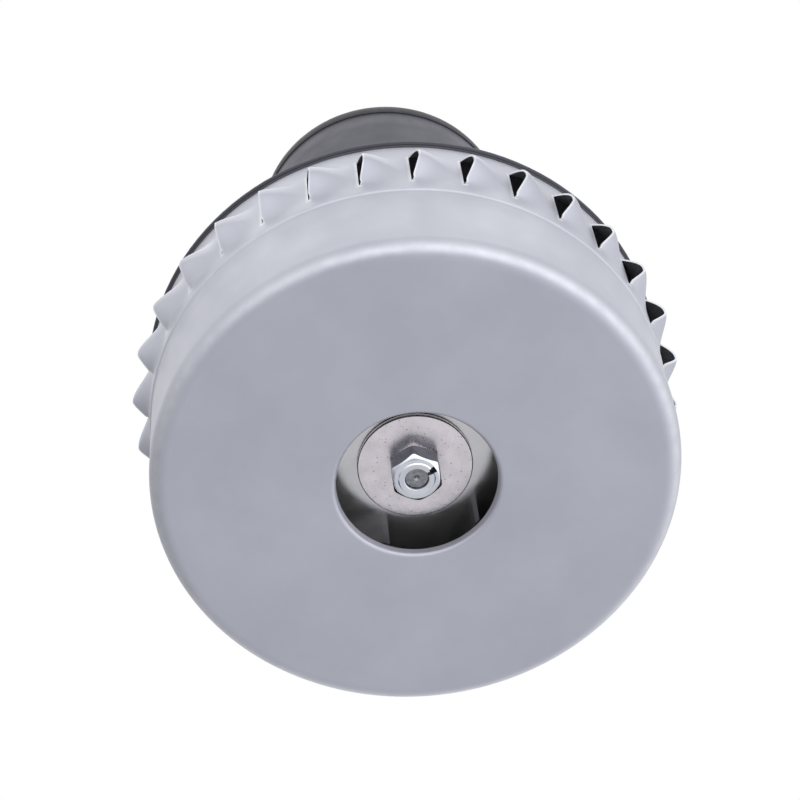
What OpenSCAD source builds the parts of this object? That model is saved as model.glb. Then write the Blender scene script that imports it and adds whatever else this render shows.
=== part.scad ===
// Two-stage bypass vacuum motor, standing on its inlet face.
// +Z runs along the shaft from the inlet to the motor, and z = 0 is the outside of the inlet face.
// All sizes are in millimetres.

/* [Fan shroud] */
// Outer radius of the plain wall
shroud_r = 71.5; // [69:0.5:80]
// Height of the shroud from the inlet face to its open edge
shroud_h = 59.5; // [56:0.5:64]
// Thickness of the pressed sheet
sheet = 0.7; // [0.5:0.05:1]
// Outside radius of the corner between face and wall
corner_r = 5; // [3:0.5:8]
// Radius of the inlet hole
inlet_r = 21.8; // [20:0.1:24]
// Outside radius of the rolled inlet edge
lip_r = 1.5; // [1.2:0.1:2]
// Depth of the rolled inlet edge behind the face
lip_depth = 2.7; // [2.2:0.1:3]
// Height of the crease where the wall widens
seat_z = 33; // [31:0.5:36]
// How much the wall widens at the crease
seat_step = 0.5; // [0.3:0.05:1]

/* [Louvres] */
// Number of louvres round the band
louvre_count = 32; // [24:1:34]
// How far the middle of the louvres lies above the middle of the band
louvre_shift = -0.55; // [-1:0.05:1]
// Length of a louvre's slit along the shaft
louvre_base = 14.6; // [12:0.1:15.5]
// How far a louvre's ridge stands out of the band
louvre_rise = 4.8; // [3:0.1:5.5]
// Slope of the ridge down to the band, in degrees
louvre_slope = 28; // [26:0.5:32]
// Outside radius of the ridge
ridge_r = 1.6; // [1.2:0.1:2]
// Direction of the first louvre's mouth, in degrees
louvre_turn = -93.3; // [-100:0.1:-85]

/* [Impellers] */
// Outer radius of both impellers
impeller_r = 60; // [56:0.5:62]
// Depth of a stage from its inlet plate to the impeller's back plate
stage_depth = 11; // [10:0.1:12]
// Thickness of the impeller plates
plate_t = 0.9; // [0.7:0.1:1.2]
// Rise of the front plate from its eye to its rim
front_rise = 2.7; // [2:0.1:3.5]
// Number of blades
blade_count = 5; // [5:1:9]
// Thickness of a blade
blade_t = 0.8; // [0.6:0.1:1.2]
// Radius at which the blades start
blade_start_r = 21.5; // [20.5:0.1:22.5]
// Radius of a blade's curve
blade_curve_r = 57.4; // [55:0.1:62]
// Direction of the first blade's inner edge, in degrees
blade_turn = 108; // [0:1:360]
// Running gap between the turning and the standing fan pieces
fan_gap = 1.3; // [1:0.1:1.6]
// Gap between an inlet edge and the impeller's eye
eye_gap = 0.6; // [0.4:0.1:1]

/* [Guide between the stages] */
// Thickness of the guide plate and the stage plate
stage_sheet = 0.8; // [0.6:0.1:1.2]
// Number of return vanes
vane_count = 9; // [7:1:12]
// Radius of a return vane's curve
vane_curve_r = 44; // [42:0.5:50]
// Outer radius of the guide plate
guide_r = 64; // [62:0.5:66]

/* [Shaft and clamp] */
// Radius of the shaft
shaft_r = 4; // [3.5:0.1:4.5]
// Radius of the shaft at the rear bearing and the cooling fan
rear_shaft_r = 3.5; // [3:0.1:3.5]
// Gap between the shaft and the pieces fixed on it
shaft_fit = 0.05; // [0.02:0.01:0.1]
// Width across the flats of the shaft nut
nut_flats = 13; // [11:0.5:15]
// Height of the shaft nut
nut_h = 7; // [5.5:0.1:7.2]
// Direction of one of the nut's corners, in degrees
nut_turn = 19; // [0:1:60]
// How far the shaft's end lies inside the nut's front
shaft_recess = 1; // [0.5:0.1:2]
// Radius of the clamp washer
washer_r = 15.7; // [13:0.1:17]
// Thickness of the clamp washer
washer_t = 1.7; // [1.2:0.1:2]
// Outer radius of the spacer sleeves
sleeve_r = 6.2; // [5.6:0.1:7]
// Radius of the spacer's collar behind the first impeller
collar_r = 14; // [11:0.5:16]
// Thickness of the spacer's collar
collar_t = 1.5; // [1:0.1:2]

/* [Fan-end bracket and flange] */
// Thickness of the bracket's plate
bracket_t = 2; // [1.5:0.1:3]
// Gap between the bracket or the stage plate and the shroud's wall
rim_fit = 0.1; // [0.05:0.01:0.2]
// Thickness of the gasket on the shroud's edge
gasket_t = 0.8; // [0.6:0.1:1.5]
// How far the gasket stands out of the louvred band
gasket_proud = 0.4; // [0:0.1:2]
// How far the housing's flange stands out of the louvred band
flange_proud = 1; // [0:0.1:4]
// Thickness of the housing's flange
flange_t = 1.6; // [1.4:0.1:3]
// Radius of the circle of flange screws
flange_screw_circle_r = 60; // [57:0.5:62]
// Radius of the screws' shanks
screw_r = 1.6; // [1.4:0.1:2]
// Radius of the screws' heads
head_r = 3; // [2.6:0.1:3.4]
// Height of the screws' heads
head_h = 2.2; // [1.8:0.1:2.6]
// Gap between a screw and its hole
screw_fit = 0.15; // [0.1:0.01:0.2]

/* [Bearings] */
// Outer radius of the fan-end bearing
fan_bearing_r = 11; // [10.5:0.1:11.5]
// Width of the fan-end bearing
fan_bearing_w = 7; // [6:0.1:8]
// Ball radius of the fan-end bearing
fan_ball_r = 1.95; // [1.7:0.05:2]
// Outer radius of the rear bearing
rear_bearing_r = 9.5; // [9.2:0.1:10]
// Width of the rear bearing
rear_bearing_w = 6; // [5:0.1:7]
// Ball radius of the rear bearing
rear_ball_r = 1.6; // [1.4:0.05:1.7]
// Number of balls in a bearing
ball_count = 7; // [6:1:8]
// Gap between a ball and its grooves
ball_fit = 0.2; // [0.15:0.01:0.25]
// Thickness of the rubber ring round the rear bearing
damper_t = 2; // [1.5:0.1:2.5]
// Gap between a bearing and its seat
seat_fit = 0.05; // [0.02:0.01:0.1]

/* [Armature and stator] */
// Height of the armature's core above the shroud's edge
core_rise = 24.5; // [23:0.5:30]
// Radius of the armature's core
core_r = 19.4; // [18:0.1:20.5]
// Length of the armature's core and of the stator
core_h = 36; // [30:0.5:42]
// Gap between the armature and the stator
air_gap = 0.6; // [0.4:0.05:1]
// Number of armature slots
slot_count = 12; // [10:2:14]
// Height of the winding's end turns
end_turn_h = 9; // [7:0.5:10]
// Radius of the commutator
commutator_r = 11; // [10:0.1:12]
// Length of the commutator
commutator_h = 14; // [13.5:0.5:16]
// Number of commutator bars
bar_count = 24; // [20:2:28]
// Outer radius of the stator
stator_r = 34.5; // [33.5:0.5:37]
// Thickness of the pole shoes
shoe_t = 2.4; // [2:0.1:3]
// Half the width of a pole's neck
neck_half = 12; // [10:0.5:13]
// Thickness of a field coil
coil_t = 5.2; // [4.5:0.1:5.6]
// Gap between a field coil and the stator
coil_gap = 0.4; // [0.3:0.05:0.6]

/* [Brushes] */
// Width of a brush across the shaft
brush_w = 6; // [5:0.1:7]
// Height of a brush along the shaft
brush_h = 9; // [8:0.1:9.5]
// Length of a brush
brush_len = 15; // [13:0.5:16]
// Gap between a brush and the commutator
brush_gap = 0.3; // [0.2:0.05:0.4]
// Gap between a brush and its tube
brush_fit = 0.2; // [0.15:0.01:0.3]
// Wall of a brush tube
tube_wall = 0.8; // [0.6:0.1:1.2]
// Gap between the commutator and the brush tube's mouth
tube_gap = 2; // [1.5:0.1:3]
// Length of a brush tube
tube_len = 19; // [18.5:0.1:20]
// Thickness of a brush cap
cap_t = 1.6; // [1.2:0.1:2]

/* [Motor housing] */
// Gap between the stator and the housing
housing_gap = 1.9; // [1.5:0.1:3]
// Wall of the housing at its top
housing_wall = 2.3; // [1.8:0.1:3]
// How much wider the housing is at its flange
housing_draft = 1.3; // [0.5:0.1:2]
// Radius of the fillet between flange and housing
fillet_r = 4; // [2:0.5:5]
// Number of cooling slots near the flange
vent_count = 12; // [8:1:16]
// Width of a cooling slot
vent_w = 5; // [3:0.1:6]
// Length of a cooling slot
vent_h = 14; // [9:0.5:15]

/* [Cooling fan and top cover] */
// Radius of the cooling fan
cool_r = 27.5; // [24:0.5:28.5]
// Height of the cooling fan
cool_h = 8.2; // [7:0.1:9]
// Number of cooling fan blades
cool_blades = 11; // [7:1:13]
// Height of the cover above the housing
cover_h = 7; // [6.5:0.1:9]
// Thickness of the cover's top
cover_t = 2.2; // [1.8:0.1:3]
// How far the cover's rim stands out of the housing
cover_proud = 0.3; // [0.1:0.1:0.8]
// Radius of the cover's rounded edge
cover_round = 3.5; // [2:0.1:4]
// Radius of the boss on the cover
boss_r = 12; // [10:0.5:13]
// Height of the boss on the cover
boss_h = 2.5; // [2:0.1:4]
// Number of air slots in the cover
grille_count = 24; // [18:1:26]
// Width of an air slot
grille_w = 2.6; // [2:0.1:2.8]

/* [Hidden] */
$fn = 96;
// Overshoot of a cutter past the face that it opens
cut = 1;

// Radii of the shroud's louvred band, and of what closes it
band_r = shroud_r + seat_step;
band_in_r = band_r - sheet;
gasket_r = band_r + gasket_proud;
flange_r = band_r + flange_proud;
// Louvre section: s runs up the mouth from the band, and the ridge falls away from it at louvre_slope
louvre_half = louvre_base / 2;
louvre_z = (seat_z + shroud_h) / 2 + louvre_shift;
mouth_h = louvre_rise / cos(louvre_slope);
// Where the flanks would meet if the ridge were sharp
flank_a = 1 - pow(ridge_r / louvre_half, 2);
flank_b = mouth_h - ridge_r;
sharp_h = (flank_b + sqrt(flank_b * flank_b - flank_a * (flank_b * flank_b - ridge_r * ridge_r))) / flank_a;
flank_len = norm([louvre_half, sharp_h]);
ridge_s = mouth_h - ridge_r;
flank_angle = atan2(sharp_h, louvre_half);
// How far a louvre's section reaches into the wall, and how long its ridge runs
louvre_root = 2 * sheet;
louvre_tail = 6.5;
mouth_clear = 0.2;
louvre_run = louvre_rise / sin(louvre_slope) + louvre_tail;
ridge_steps = 6;

// Fan stack
lip_rise = lip_depth - sheet;
eye_r = inlet_r + sheet + eye_gap;
stage_1_z = sheet;
stage_2_z = seat_z + sheet + stage_sheet;
eye_low = lip_rise - plate_t + eye_gap;
washer_z = stage_1_z + stage_depth - washer_t;
nut_z = washer_z - nut_h;
collar_z = stage_1_z + stage_depth + plate_t;
guide_z = collar_z + collar_t + fan_gap;
vane_z = guide_z + stage_sheet;
vane_h = seat_z + sheet - vane_z;
vane_margin = 4;
vane_start_r = inlet_r + vane_margin;
sleeve_gap = 2;
shaft_chamfer = 1;
centre_mark_r = 0.9;
nut_chamfer = 0.8;
washer_edge = 0.3;
blade_centre = sqrt(pow(blade_curve_r, 2) + pow(blade_start_r, 2)
  - 2 * blade_curve_r * blade_start_r * cos(30));
vane_centre = 31;

// Screws and gasket
screw_hole_r = screw_r + screw_fit;
cross_len = 3.6;
cross_w = 0.8;
cross_depth = 1.1;
gasket_margin = 5;

// Bearings: share of the ball's radius that the rings leave open, and the cage's section
race_share = 0.62;
cage_t = 1.2;
cage_h = 1.6;

// Motor stack above the shroud's edge
flange_z = shroud_h + gasket_t;
bearing_floor = 1;
fan_bearing_z = shroud_h + bearing_floor;
boss_wall = 3.4;
core_z = shroud_h + core_rise;
core_top = core_z + core_h;
winding_gap = 1.5;
commutator_z = core_top + end_turn_h + winding_gap;
rear_gap = 2;
rear_bearing_z = commutator_z + commutator_h + rear_gap;
cup_floor = 0.6;
cool_gap = 3;
cool_z = rear_bearing_z + rear_bearing_w + cool_gap;
cool_disc_t = 1.2;
cool_hub_r = 8;
cool_edge = 0.8;
cool_curve_r = 30;
joint_z = cool_z + cool_h - cool_disc_t;
shaft_end = 0.6;
shaft_top = cool_z + cool_h + shaft_end;

// Stator section
bore_r = core_r + air_gap;
shoe_r = bore_r + shoe_t;
coil_in_r = shoe_r + coil_gap;
coil_out_r = coil_in_r + coil_t;
yoke_r = coil_out_r + coil_gap;
post_circle_r = (stator_r + yoke_r) / 2;
post_r = 2.8;
shoe_angle = 62;
coil_angle = 68;

// Armature slots, end turns and commutator bars
slot_r = 2.6;
slot_mouth = 1.6;
slot_depth = 2.4;
slot_circle_r = core_r - slot_r - slot_depth;
turn_in_r = slot_circle_r - slot_r - 3;
turn_out_r = slot_circle_r + slot_r + 0.6;
turn_round = 2;
bar_gap = 0.5;
bar_gap_depth = 1.2;

// Rear bracket and brushes
brush_z = commutator_z + commutator_h / 2;
tube_half_w = brush_w / 2 + brush_fit + tube_wall;
tube_half_h = brush_h / 2 + brush_fit + tube_wall;
tube_in_r = commutator_r + tube_gap;
tube_out_r = tube_in_r + tube_len;
brush_in_r = commutator_r + brush_gap;
brush_out_r = brush_in_r + brush_len;
spring_wire = 0.9;
spring_r = brush_w / 2 - brush_fit;
arm_z = brush_z + tube_half_h;
arm_t = 5;
cup_in_r = rear_bearing_r + damper_t + seat_fit;
cup_wall = 2.2;
cup_r = cup_in_r + cup_wall;
cup_hole_r = (rear_shaft_r + rear_bearing_r) / 2 + rear_ball_r / 2;
ring_half = 3;
ring_h = arm_t - 1;
arm_w = 2 * tube_half_w;
thread_depth = 12;

// Motor housing and cover
housing_in_r = stator_r + housing_gap;
housing_top_r = housing_in_r + housing_wall;
housing_base_r = housing_top_r + housing_draft;
vent_rise = 1.5;
vent_z = flange_z + flange_t + fillet_r + vent_rise;
cover_r = housing_top_r + cover_proud;
skirt_h = 4;
skirt_t = 2;
skirt_fit = 0.2;
cover_post_r = 2.8;
cover_post_gap = 1.6;
cover_post_circle_r = housing_in_r - cover_post_r - cover_post_gap;
cover_post_h = 8;
web_t = 3;
grille_margin = 2;
grille_in_r = boss_r + grille_margin;
grille_out_r = cover_post_circle_r - head_r - grille_margin;
terminal_drop = 1;
terminal_z = brush_z - terminal_drop;
terminal_w = 18;
terminal_h = 10;
terminal_fit = 0.15;
tab_w = 6.3;
tab_t = 0.8;
tab_pitch = 9;
tab_out = 8;
tab_fit = 0.05;
terminal_proud = 0.8;
pad_y = housing_top_r + terminal_proud;
lug_side = 2;
lug_half = terminal_w / 2 + lug_side;
lug_t = 2;
lug_fit = 0.3;
lug_y = sqrt(pow(housing_in_r, 2) - pow(lug_half, 2)) - lug_fit;
flange_edge = 0.4;
four_turns = [45, 135, 225, 315];
three_turns = [30, 150, 270];

// Angle at the shaft between a curve's centre and the point where the curve meets radius r
function arc_angle(r, centre, curve_r) =
  acos((r * r + centre * centre - curve_r * curve_r) / (2 * r * centre));

// A round ring standing on z = 0
module ring(r_out, r_in, h) {
  difference() {
    cylinder(r = r_out, h = h);
    translate([0, 0, -cut]) cylinder(r = r_in, h = h + 2 * cut);
  }
}

// Copies of a piece turned to each of the given directions, out at one radius
module turned(angles, r) {
  for (angle = angles) rotate([0, 0, angle]) translate([r, 0, 0]) children();
}

// A screw whose head rests on z = 0 and whose shank runs down
module screw(shank) {
  difference() {
    union() {
      cylinder(r = head_r, h = head_h);
      translate([0, 0, -shank]) cylinder(r = screw_r, h = shank + head_h - cross_depth);
    }
    for (angle = [0, 90]) rotate([0, 0, angle])
      translate([-cross_len / 2, -cross_w / 2, head_h - cross_depth])
        cube([cross_len, cross_w, cross_depth + cut]);
  }
}

// Outside of the shroud's section, moved in by the sheet for its inside
module can_section(inset, top) {
  square_top = top - inset;
  translate([0, inset]) square([shroud_r - corner_r, square_top]);
  translate([0, corner_r]) square([shroud_r - inset, top - corner_r]);
  translate([shroud_r - corner_r, corner_r]) circle(r = corner_r - inset);
  translate([0, seat_z + inset]) square([band_r - inset, top - seat_z - inset]);
}

// Rolled edge of the inlet: a quarter of a round, then a short straight neck
module inlet_edge() {
  translate([inlet_r + lip_r, lip_r]) intersection() {
    difference() {
      circle(r = lip_r);
      circle(r = lip_r - sheet);
    }
    translate([-lip_r, -lip_r]) square(lip_r);
  }
  translate([inlet_r, lip_r]) square([sheet, lip_depth - lip_r]);
}

// Drawn can with its inlet, before the louvres are lanced
module plain_can() {
  rotate_extrude() {
    difference() {
      can_section(0, shroud_h);
      can_section(sheet, shroud_h + cut);
      translate([0, -cut]) square([inlet_r + lip_r, 3 * cut]);
    }
    inlet_edge();
  }
}

// Section across a louvre: two flanks with a rounded ridge, moved in by inset
module louvre_section(inset) {
  root_half = louvre_half + (louvre_root * louvre_half - inset * flank_len) / sharp_h;
  arc_r = ridge_r - inset;
  ridge = [for (i = [0:ridge_steps]) let (a = flank_angle * (1 - 2 * i / ridge_steps))
    [ridge_s + arc_r * cos(a), arc_r * sin(a)]];
  polygon(concat([[-louvre_root, -root_half], [-louvre_root, root_half]], ridge));
}

// One louvre as a prism along its ridge, which sinks into the band
module louvre_prism(inset, start) {
  translate([band_r, 0, louvre_z]) rotate([-90, 0, louvre_slope])
    translate([0, 0, start]) linear_extrude(louvre_run - start) louvre_section(inset);
}

// Louvre copies all round the band
module louvres(inset, start) {
  for (i = [0:louvre_count - 1])
    rotate([0, 0, louvre_turn + i * 360 / louvre_count]) louvre_prism(inset, start);
}

module fan_shroud() {
  color("#c8cad2") difference() {
    union() {
      plain_can();
      difference() {
        louvres(0, 0);
        translate([0, 0, seat_z]) cylinder(r = band_in_r, h = shroud_h);
      }
    }
    louvres(sheet, -mouth_clear);
  }
}

module shroud_gasket() {
  color("#1c1c1e") translate([0, 0, shroud_h]) difference() {
    ring(gasket_r, flange_screw_circle_r - gasket_margin, gasket_t);
    turned(four_turns, flange_screw_circle_r)
      translate([0, 0, -cut]) cylinder(r = screw_hole_r, h = gasket_t + 2 * cut);
  }
}

// A curved blade in plan: one arc between two radii, with its inner end in the +X direction
module blade_plan(start_r, end_r, curve_r, centre, t) {
  rotate([0, 0, arc_angle(start_r, centre, curve_r)]) intersection() {
    translate([centre, 0]) difference() {
      circle(r = curve_r + t / 2);
      circle(r = curve_r - t / 2);
    }
    difference() {
      circle(r = end_r);
      circle(r = start_r);
    }
    translate([-2 * end_r, -2 * end_r]) square([4 * end_r, 2 * end_r]);
  }
}

// Front plate of an impeller, a shallow cone round its eye, above the inlet plate at z = 0
module front_plate() {
  rotate_extrude() polygon([
    [eye_r, eye_low],
    [impeller_r, eye_low + front_rise],
    [impeller_r, eye_low + front_rise + plate_t],
    [eye_r, eye_low + plate_t]
  ]);
}

// Blades of an impeller, cut to the slope of its front plate
module fan_blades() {
  low = eye_low + plate_t;
  slope = front_rise / (impeller_r - eye_r);
  difference() {
    for (i = [0:blade_count - 1]) rotate([0, 0, blade_turn + i * 360 / blade_count])
      translate([0, 0, low]) linear_extrude(stage_depth - low)
        blade_plan(blade_start_r, impeller_r, blade_curve_r, blade_centre, blade_t);
    rotate_extrude() polygon([
      [eye_r, 0],
      [impeller_r + cut, 0],
      [impeller_r + cut, low + slope * (impeller_r + cut - eye_r)],
      [eye_r, low]
    ]);
  }
}

// Back plate of an impeller, clamped on the shaft
module back_plate() {
  translate([0, 0, stage_depth]) ring(impeller_r, shaft_r + shaft_fit, plate_t);
}

module impeller_1_front_plate() {
  color("#b9bcc2") translate([0, 0, stage_1_z]) front_plate();
}

module impeller_1_blades() {
  color("#b9bcc2") translate([0, 0, stage_1_z]) fan_blades();
}

module impeller_1_back_plate() {
  color("#b9bcc2") translate([0, 0, stage_1_z]) back_plate();
}

module impeller_2_front_plate() {
  color("#b9bcc2") translate([0, 0, stage_2_z]) front_plate();
}

module impeller_2_blades() {
  color("#b9bcc2") translate([0, 0, stage_2_z]) fan_blades();
}

module impeller_2_back_plate() {
  color("#b9bcc2") translate([0, 0, stage_2_z]) back_plate();
}

module guide_plate() {
  color("#a9acb3") translate([0, 0, guide_z]) ring(guide_r, sleeve_r + sleeve_gap, stage_sheet);
}

module return_vanes() {
  color("#a9acb3") translate([0, 0, vane_z]) linear_extrude(vane_h)
    for (i = [0:vane_count - 1]) rotate([0, 0, i * 360 / vane_count])
      mirror([0, 1]) blade_plan(vane_start_r, guide_r, vane_curve_r, vane_centre, stage_sheet);
}

module stage_plate() {
  color("#a9acb3") translate([0, 0, seat_z + sheet]) {
    ring(band_in_r - rim_fit, inlet_r, stage_sheet);
    ring(inlet_r + sheet, inlet_r, stage_sheet + lip_rise);
  }
}

module shaft() {
  end_z = nut_z + shaft_recess;
  color("#8d9096") difference() {
    rotate_extrude() polygon([
      [0, end_z],
      [shaft_r - shaft_chamfer, end_z],
      [shaft_r, end_z + shaft_chamfer],
      [shaft_r, rear_bearing_z],
      [rear_shaft_r, rear_bearing_z],
      [rear_shaft_r, shaft_top],
      [0, shaft_top]
    ]);
    translate([0, 0, end_z - cut]) cylinder(r1 = centre_mark_r + cut, r2 = 0, h = centre_mark_r + cut);
  }
}

module shaft_nut() {
  corner = nut_flats / 2 / cos(30);
  face_r = nut_flats / 2 - nut_chamfer;
  color("#dfe2e8") translate([0, 0, nut_z]) difference() {
    intersection() {
      rotate([0, 0, nut_turn]) cylinder(r = corner, h = nut_h, $fn = 6);
      cylinder(r1 = face_r, r2 = face_r + nut_h * tan(60), h = nut_h);
    }
    translate([0, 0, -cut]) cylinder(r = shaft_r + shaft_fit, h = nut_h + 2 * cut);
    translate([0, 0, -cut]) cylinder(r1 = shaft_r + nut_chamfer + cut, r2 = shaft_r, h = nut_chamfer + cut);
  }
}

module clamp_washer() {
  color("#c3bfc3") translate([0, 0, washer_z]) difference() {
    rotate_extrude() polygon([
      [0, 0],
      [washer_r - washer_edge, 0],
      [washer_r, washer_edge],
      [washer_r, washer_t],
      [0, washer_t]
    ]);
    translate([0, 0, -cut]) cylinder(r = shaft_r + shaft_fit, h = washer_t + 2 * cut);
  }
}

module impeller_spacer() {
  color("#9da0a6") translate([0, 0, collar_z]) {
    ring(collar_r, shaft_r + shaft_fit, collar_t);
    ring(sleeve_r, shaft_r + shaft_fit, stage_2_z + stage_depth - collar_z);
  }
}

module bearing_spacer() {
  low = stage_2_z + stage_depth + plate_t;
  color("#9da0a6") translate([0, 0, low]) ring(sleeve_r, shaft_r + shaft_fit, fan_bearing_z - low);
}

// Holes down through a plate for the flange screws
module flange_holes(low, high) {
  turned(four_turns, flange_screw_circle_r)
    translate([0, 0, low - cut]) cylinder(r = screw_hole_r, h = high - low + 2 * cut);
}

module fan_end_bracket() {
  plate_z = shroud_h - bracket_t;
  boss_top = fan_bearing_z + fan_bearing_w;
  color("#8f9298") difference() {
    union() {
      translate([0, 0, plate_z]) cylinder(r = band_in_r - rim_fit, h = bracket_t);
      translate([0, 0, plate_z]) cylinder(r = fan_bearing_r + boss_wall, h = boss_top - plate_z);
      turned(four_turns, post_circle_r)
        translate([0, 0, plate_z]) cylinder(r = post_r, h = core_z - plate_z);
    }
    translate([0, 0, plate_z - cut])
      cylinder(r = sleeve_r + sleeve_gap, h = fan_bearing_z - plate_z + 2 * cut);
    translate([0, 0, fan_bearing_z]) cylinder(r = fan_bearing_r, h = fan_bearing_w + cut);
    turned(four_turns, post_circle_r)
      translate([0, 0, core_z - thread_depth]) cylinder(r = screw_hole_r, h = thread_depth + cut);
    flange_holes(plate_z, shroud_h);
  }
}

// Inner ring of a ball bearing, with its groove
module inner_race(bore, r_out, w, ball) {
  pitch = (bore + r_out) / 2;
  rotate_extrude() difference() {
    translate([bore, 0]) square([pitch - race_share * ball - bore, w]);
    translate([pitch, w / 2]) circle(r = ball + ball_fit);
  }
}

// Outer ring of a ball bearing, with its groove
module outer_race(bore, r_out, w, ball) {
  pitch = (bore + r_out) / 2;
  rotate_extrude() difference() {
    translate([pitch + race_share * ball, 0]) square([r_out - pitch - race_share * ball, w]);
    translate([pitch, w / 2]) circle(r = ball + ball_fit);
  }
}

// Balls of a bearing, held in their cage
module ball_set(bore, r_out, w, ball) {
  pitch = (bore + r_out) / 2;
  translate([0, 0, w / 2]) {
    translate([0, 0, -cage_h / 2]) ring(pitch + cage_t / 2, pitch - cage_t / 2, cage_h);
    for (i = [0:ball_count - 1]) rotate([0, 0, i * 360 / ball_count])
      translate([pitch, 0, 0]) sphere(r = ball);
  }
}

module fan_bearing_outer_ring() {
  color("#b4b7bd") translate([0, 0, fan_bearing_z])
    outer_race(shaft_r + shaft_fit, fan_bearing_r - seat_fit, fan_bearing_w, fan_ball_r);
}

module fan_bearing_balls() {
  color("#d5d7dc") translate([0, 0, fan_bearing_z])
    ball_set(shaft_r + shaft_fit, fan_bearing_r - seat_fit, fan_bearing_w, fan_ball_r);
}

module fan_bearing_inner_ring() {
  color("#b4b7bd") translate([0, 0, fan_bearing_z])
    inner_race(shaft_r + shaft_fit, fan_bearing_r - seat_fit, fan_bearing_w, fan_ball_r);
}

module rear_bearing_outer_ring() {
  color("#b4b7bd") translate([0, 0, rear_bearing_z])
    outer_race(rear_shaft_r + shaft_fit, rear_bearing_r - seat_fit, rear_bearing_w, rear_ball_r);
}

module rear_bearing_balls() {
  color("#d5d7dc") translate([0, 0, rear_bearing_z])
    ball_set(rear_shaft_r + shaft_fit, rear_bearing_r - seat_fit, rear_bearing_w, rear_ball_r);
}

module rear_bearing_inner_ring() {
  color("#b4b7bd") translate([0, 0, rear_bearing_z])
    inner_race(rear_shaft_r + shaft_fit, rear_bearing_r - seat_fit, rear_bearing_w, rear_ball_r);
}

module rear_bearing_damper() {
  color("#1c1c1e") translate([0, 0, rear_bearing_z])
    ring(cup_in_r - seat_fit, rear_bearing_r, rear_bearing_w);
}

module armature_core() {
  color("#6f7278") translate([0, 0, core_z]) linear_extrude(core_h) difference() {
    circle(r = core_r);
    circle(r = shaft_r + shaft_fit);
    for (i = [0:slot_count - 1]) rotate([0, 0, i * 360 / slot_count]) {
      translate([slot_circle_r, 0]) circle(r = slot_r);
      translate([slot_circle_r, -slot_mouth / 2]) square([core_r, slot_mouth]);
    }
  }
}

// End turns of the armature's winding, standing on z = 0
module end_turns() {
  rotate_extrude() {
    translate([turn_in_r, 0]) square([turn_out_r - turn_in_r, end_turn_h - turn_round]);
    translate([turn_in_r + turn_round, 0]) square([turn_out_r - turn_in_r - 2 * turn_round, end_turn_h]);
    for (r = [turn_in_r + turn_round, turn_out_r - turn_round])
      translate([r, end_turn_h - turn_round]) circle(r = turn_round);
  }
}

module armature_winding() {
  color("#a5622f") {
    translate([0, 0, core_top]) end_turns();
    translate([0, 0, core_z]) mirror([0, 0, 1]) end_turns();
    for (i = [0:slot_count - 1]) rotate([0, 0, i * 360 / slot_count])
      translate([slot_circle_r, 0, core_z - cut]) cylinder(r = slot_r - coil_gap, h = core_h + 2 * cut);
  }
}

module commutator() {
  color("#b87333") translate([0, 0, commutator_z]) linear_extrude(commutator_h) difference() {
    circle(r = commutator_r);
    circle(r = shaft_r + shaft_fit);
    for (i = [0:bar_count - 1]) rotate([0, 0, i * 360 / bar_count])
      translate([commutator_r - bar_gap_depth, -bar_gap / 2]) square([commutator_r, bar_gap]);
  }
}

module cooling_fan() {
  color("#2b2c30") translate([0, 0, cool_z]) {
    ring(cool_r, rear_shaft_r + shaft_fit, cool_disc_t);
    ring(cool_hub_r, rear_shaft_r + shaft_fit, cool_h);
    for (i = [0:cool_blades - 1]) rotate([0, 0, i * 360 / cool_blades])
      translate([0, 0, cool_disc_t / 2]) linear_extrude(cool_h - cool_disc_t / 2 - cool_edge)
        blade_plan(cool_hub_r - cut, cool_r - cool_edge, cool_curve_r, cool_curve_r, cool_disc_t);
  }
}

// Wedge about +Y that reaches the given angle to both sides
module wedge(angle, far) {
  polygon([
    [0, 0],
    [far * sin(angle), far * cos(angle)],
    [far, far],
    [-far, far],
    [-far * sin(angle), far * cos(angle)]
  ]);
}

module stator_core() {
  color("#5d6066") translate([0, 0, core_z]) linear_extrude(core_h) difference() {
    union() {
      difference() {
        circle(r = stator_r);
        circle(r = yoke_r);
      }
      for (side = [0, 180]) rotate([0, 0, side]) {
        translate([-neck_half, 0]) square([2 * neck_half, yoke_r + cut]);
        intersection() {
          circle(r = shoe_r);
          wedge(shoe_angle, 2 * stator_r);
        }
      }
    }
    circle(r = bore_r);
    turned(four_turns, post_circle_r) circle(r = screw_hole_r);
  }
}

// Saddle-shaped field coil round the pole on the +Y side
module field_coil() {
  window = neck_half + coil_gap;
  color("#a5622f") difference() {
    translate([0, 0, core_z - end_turn_h]) linear_extrude(core_h + 2 * end_turn_h) intersection() {
      difference() {
        circle(r = coil_out_r);
        circle(r = coil_in_r);
      }
      wedge(coil_angle, 2 * stator_r);
    }
    translate([-window, 0, core_z - coil_gap]) cube([2 * window, stator_r, core_h + 2 * coil_gap]);
  }
}

module field_coil_front() {
  rotate([0, 0, 180]) field_coil();
}

module field_coil_back() {
  field_coil();
}

module stator_screws() {
  head_z = arm_z + ring_h;
  color("#9da0a6") turned(four_turns, post_circle_r)
    translate([0, 0, head_z]) screw(head_z - core_z + thread_depth - cut);
}

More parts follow.
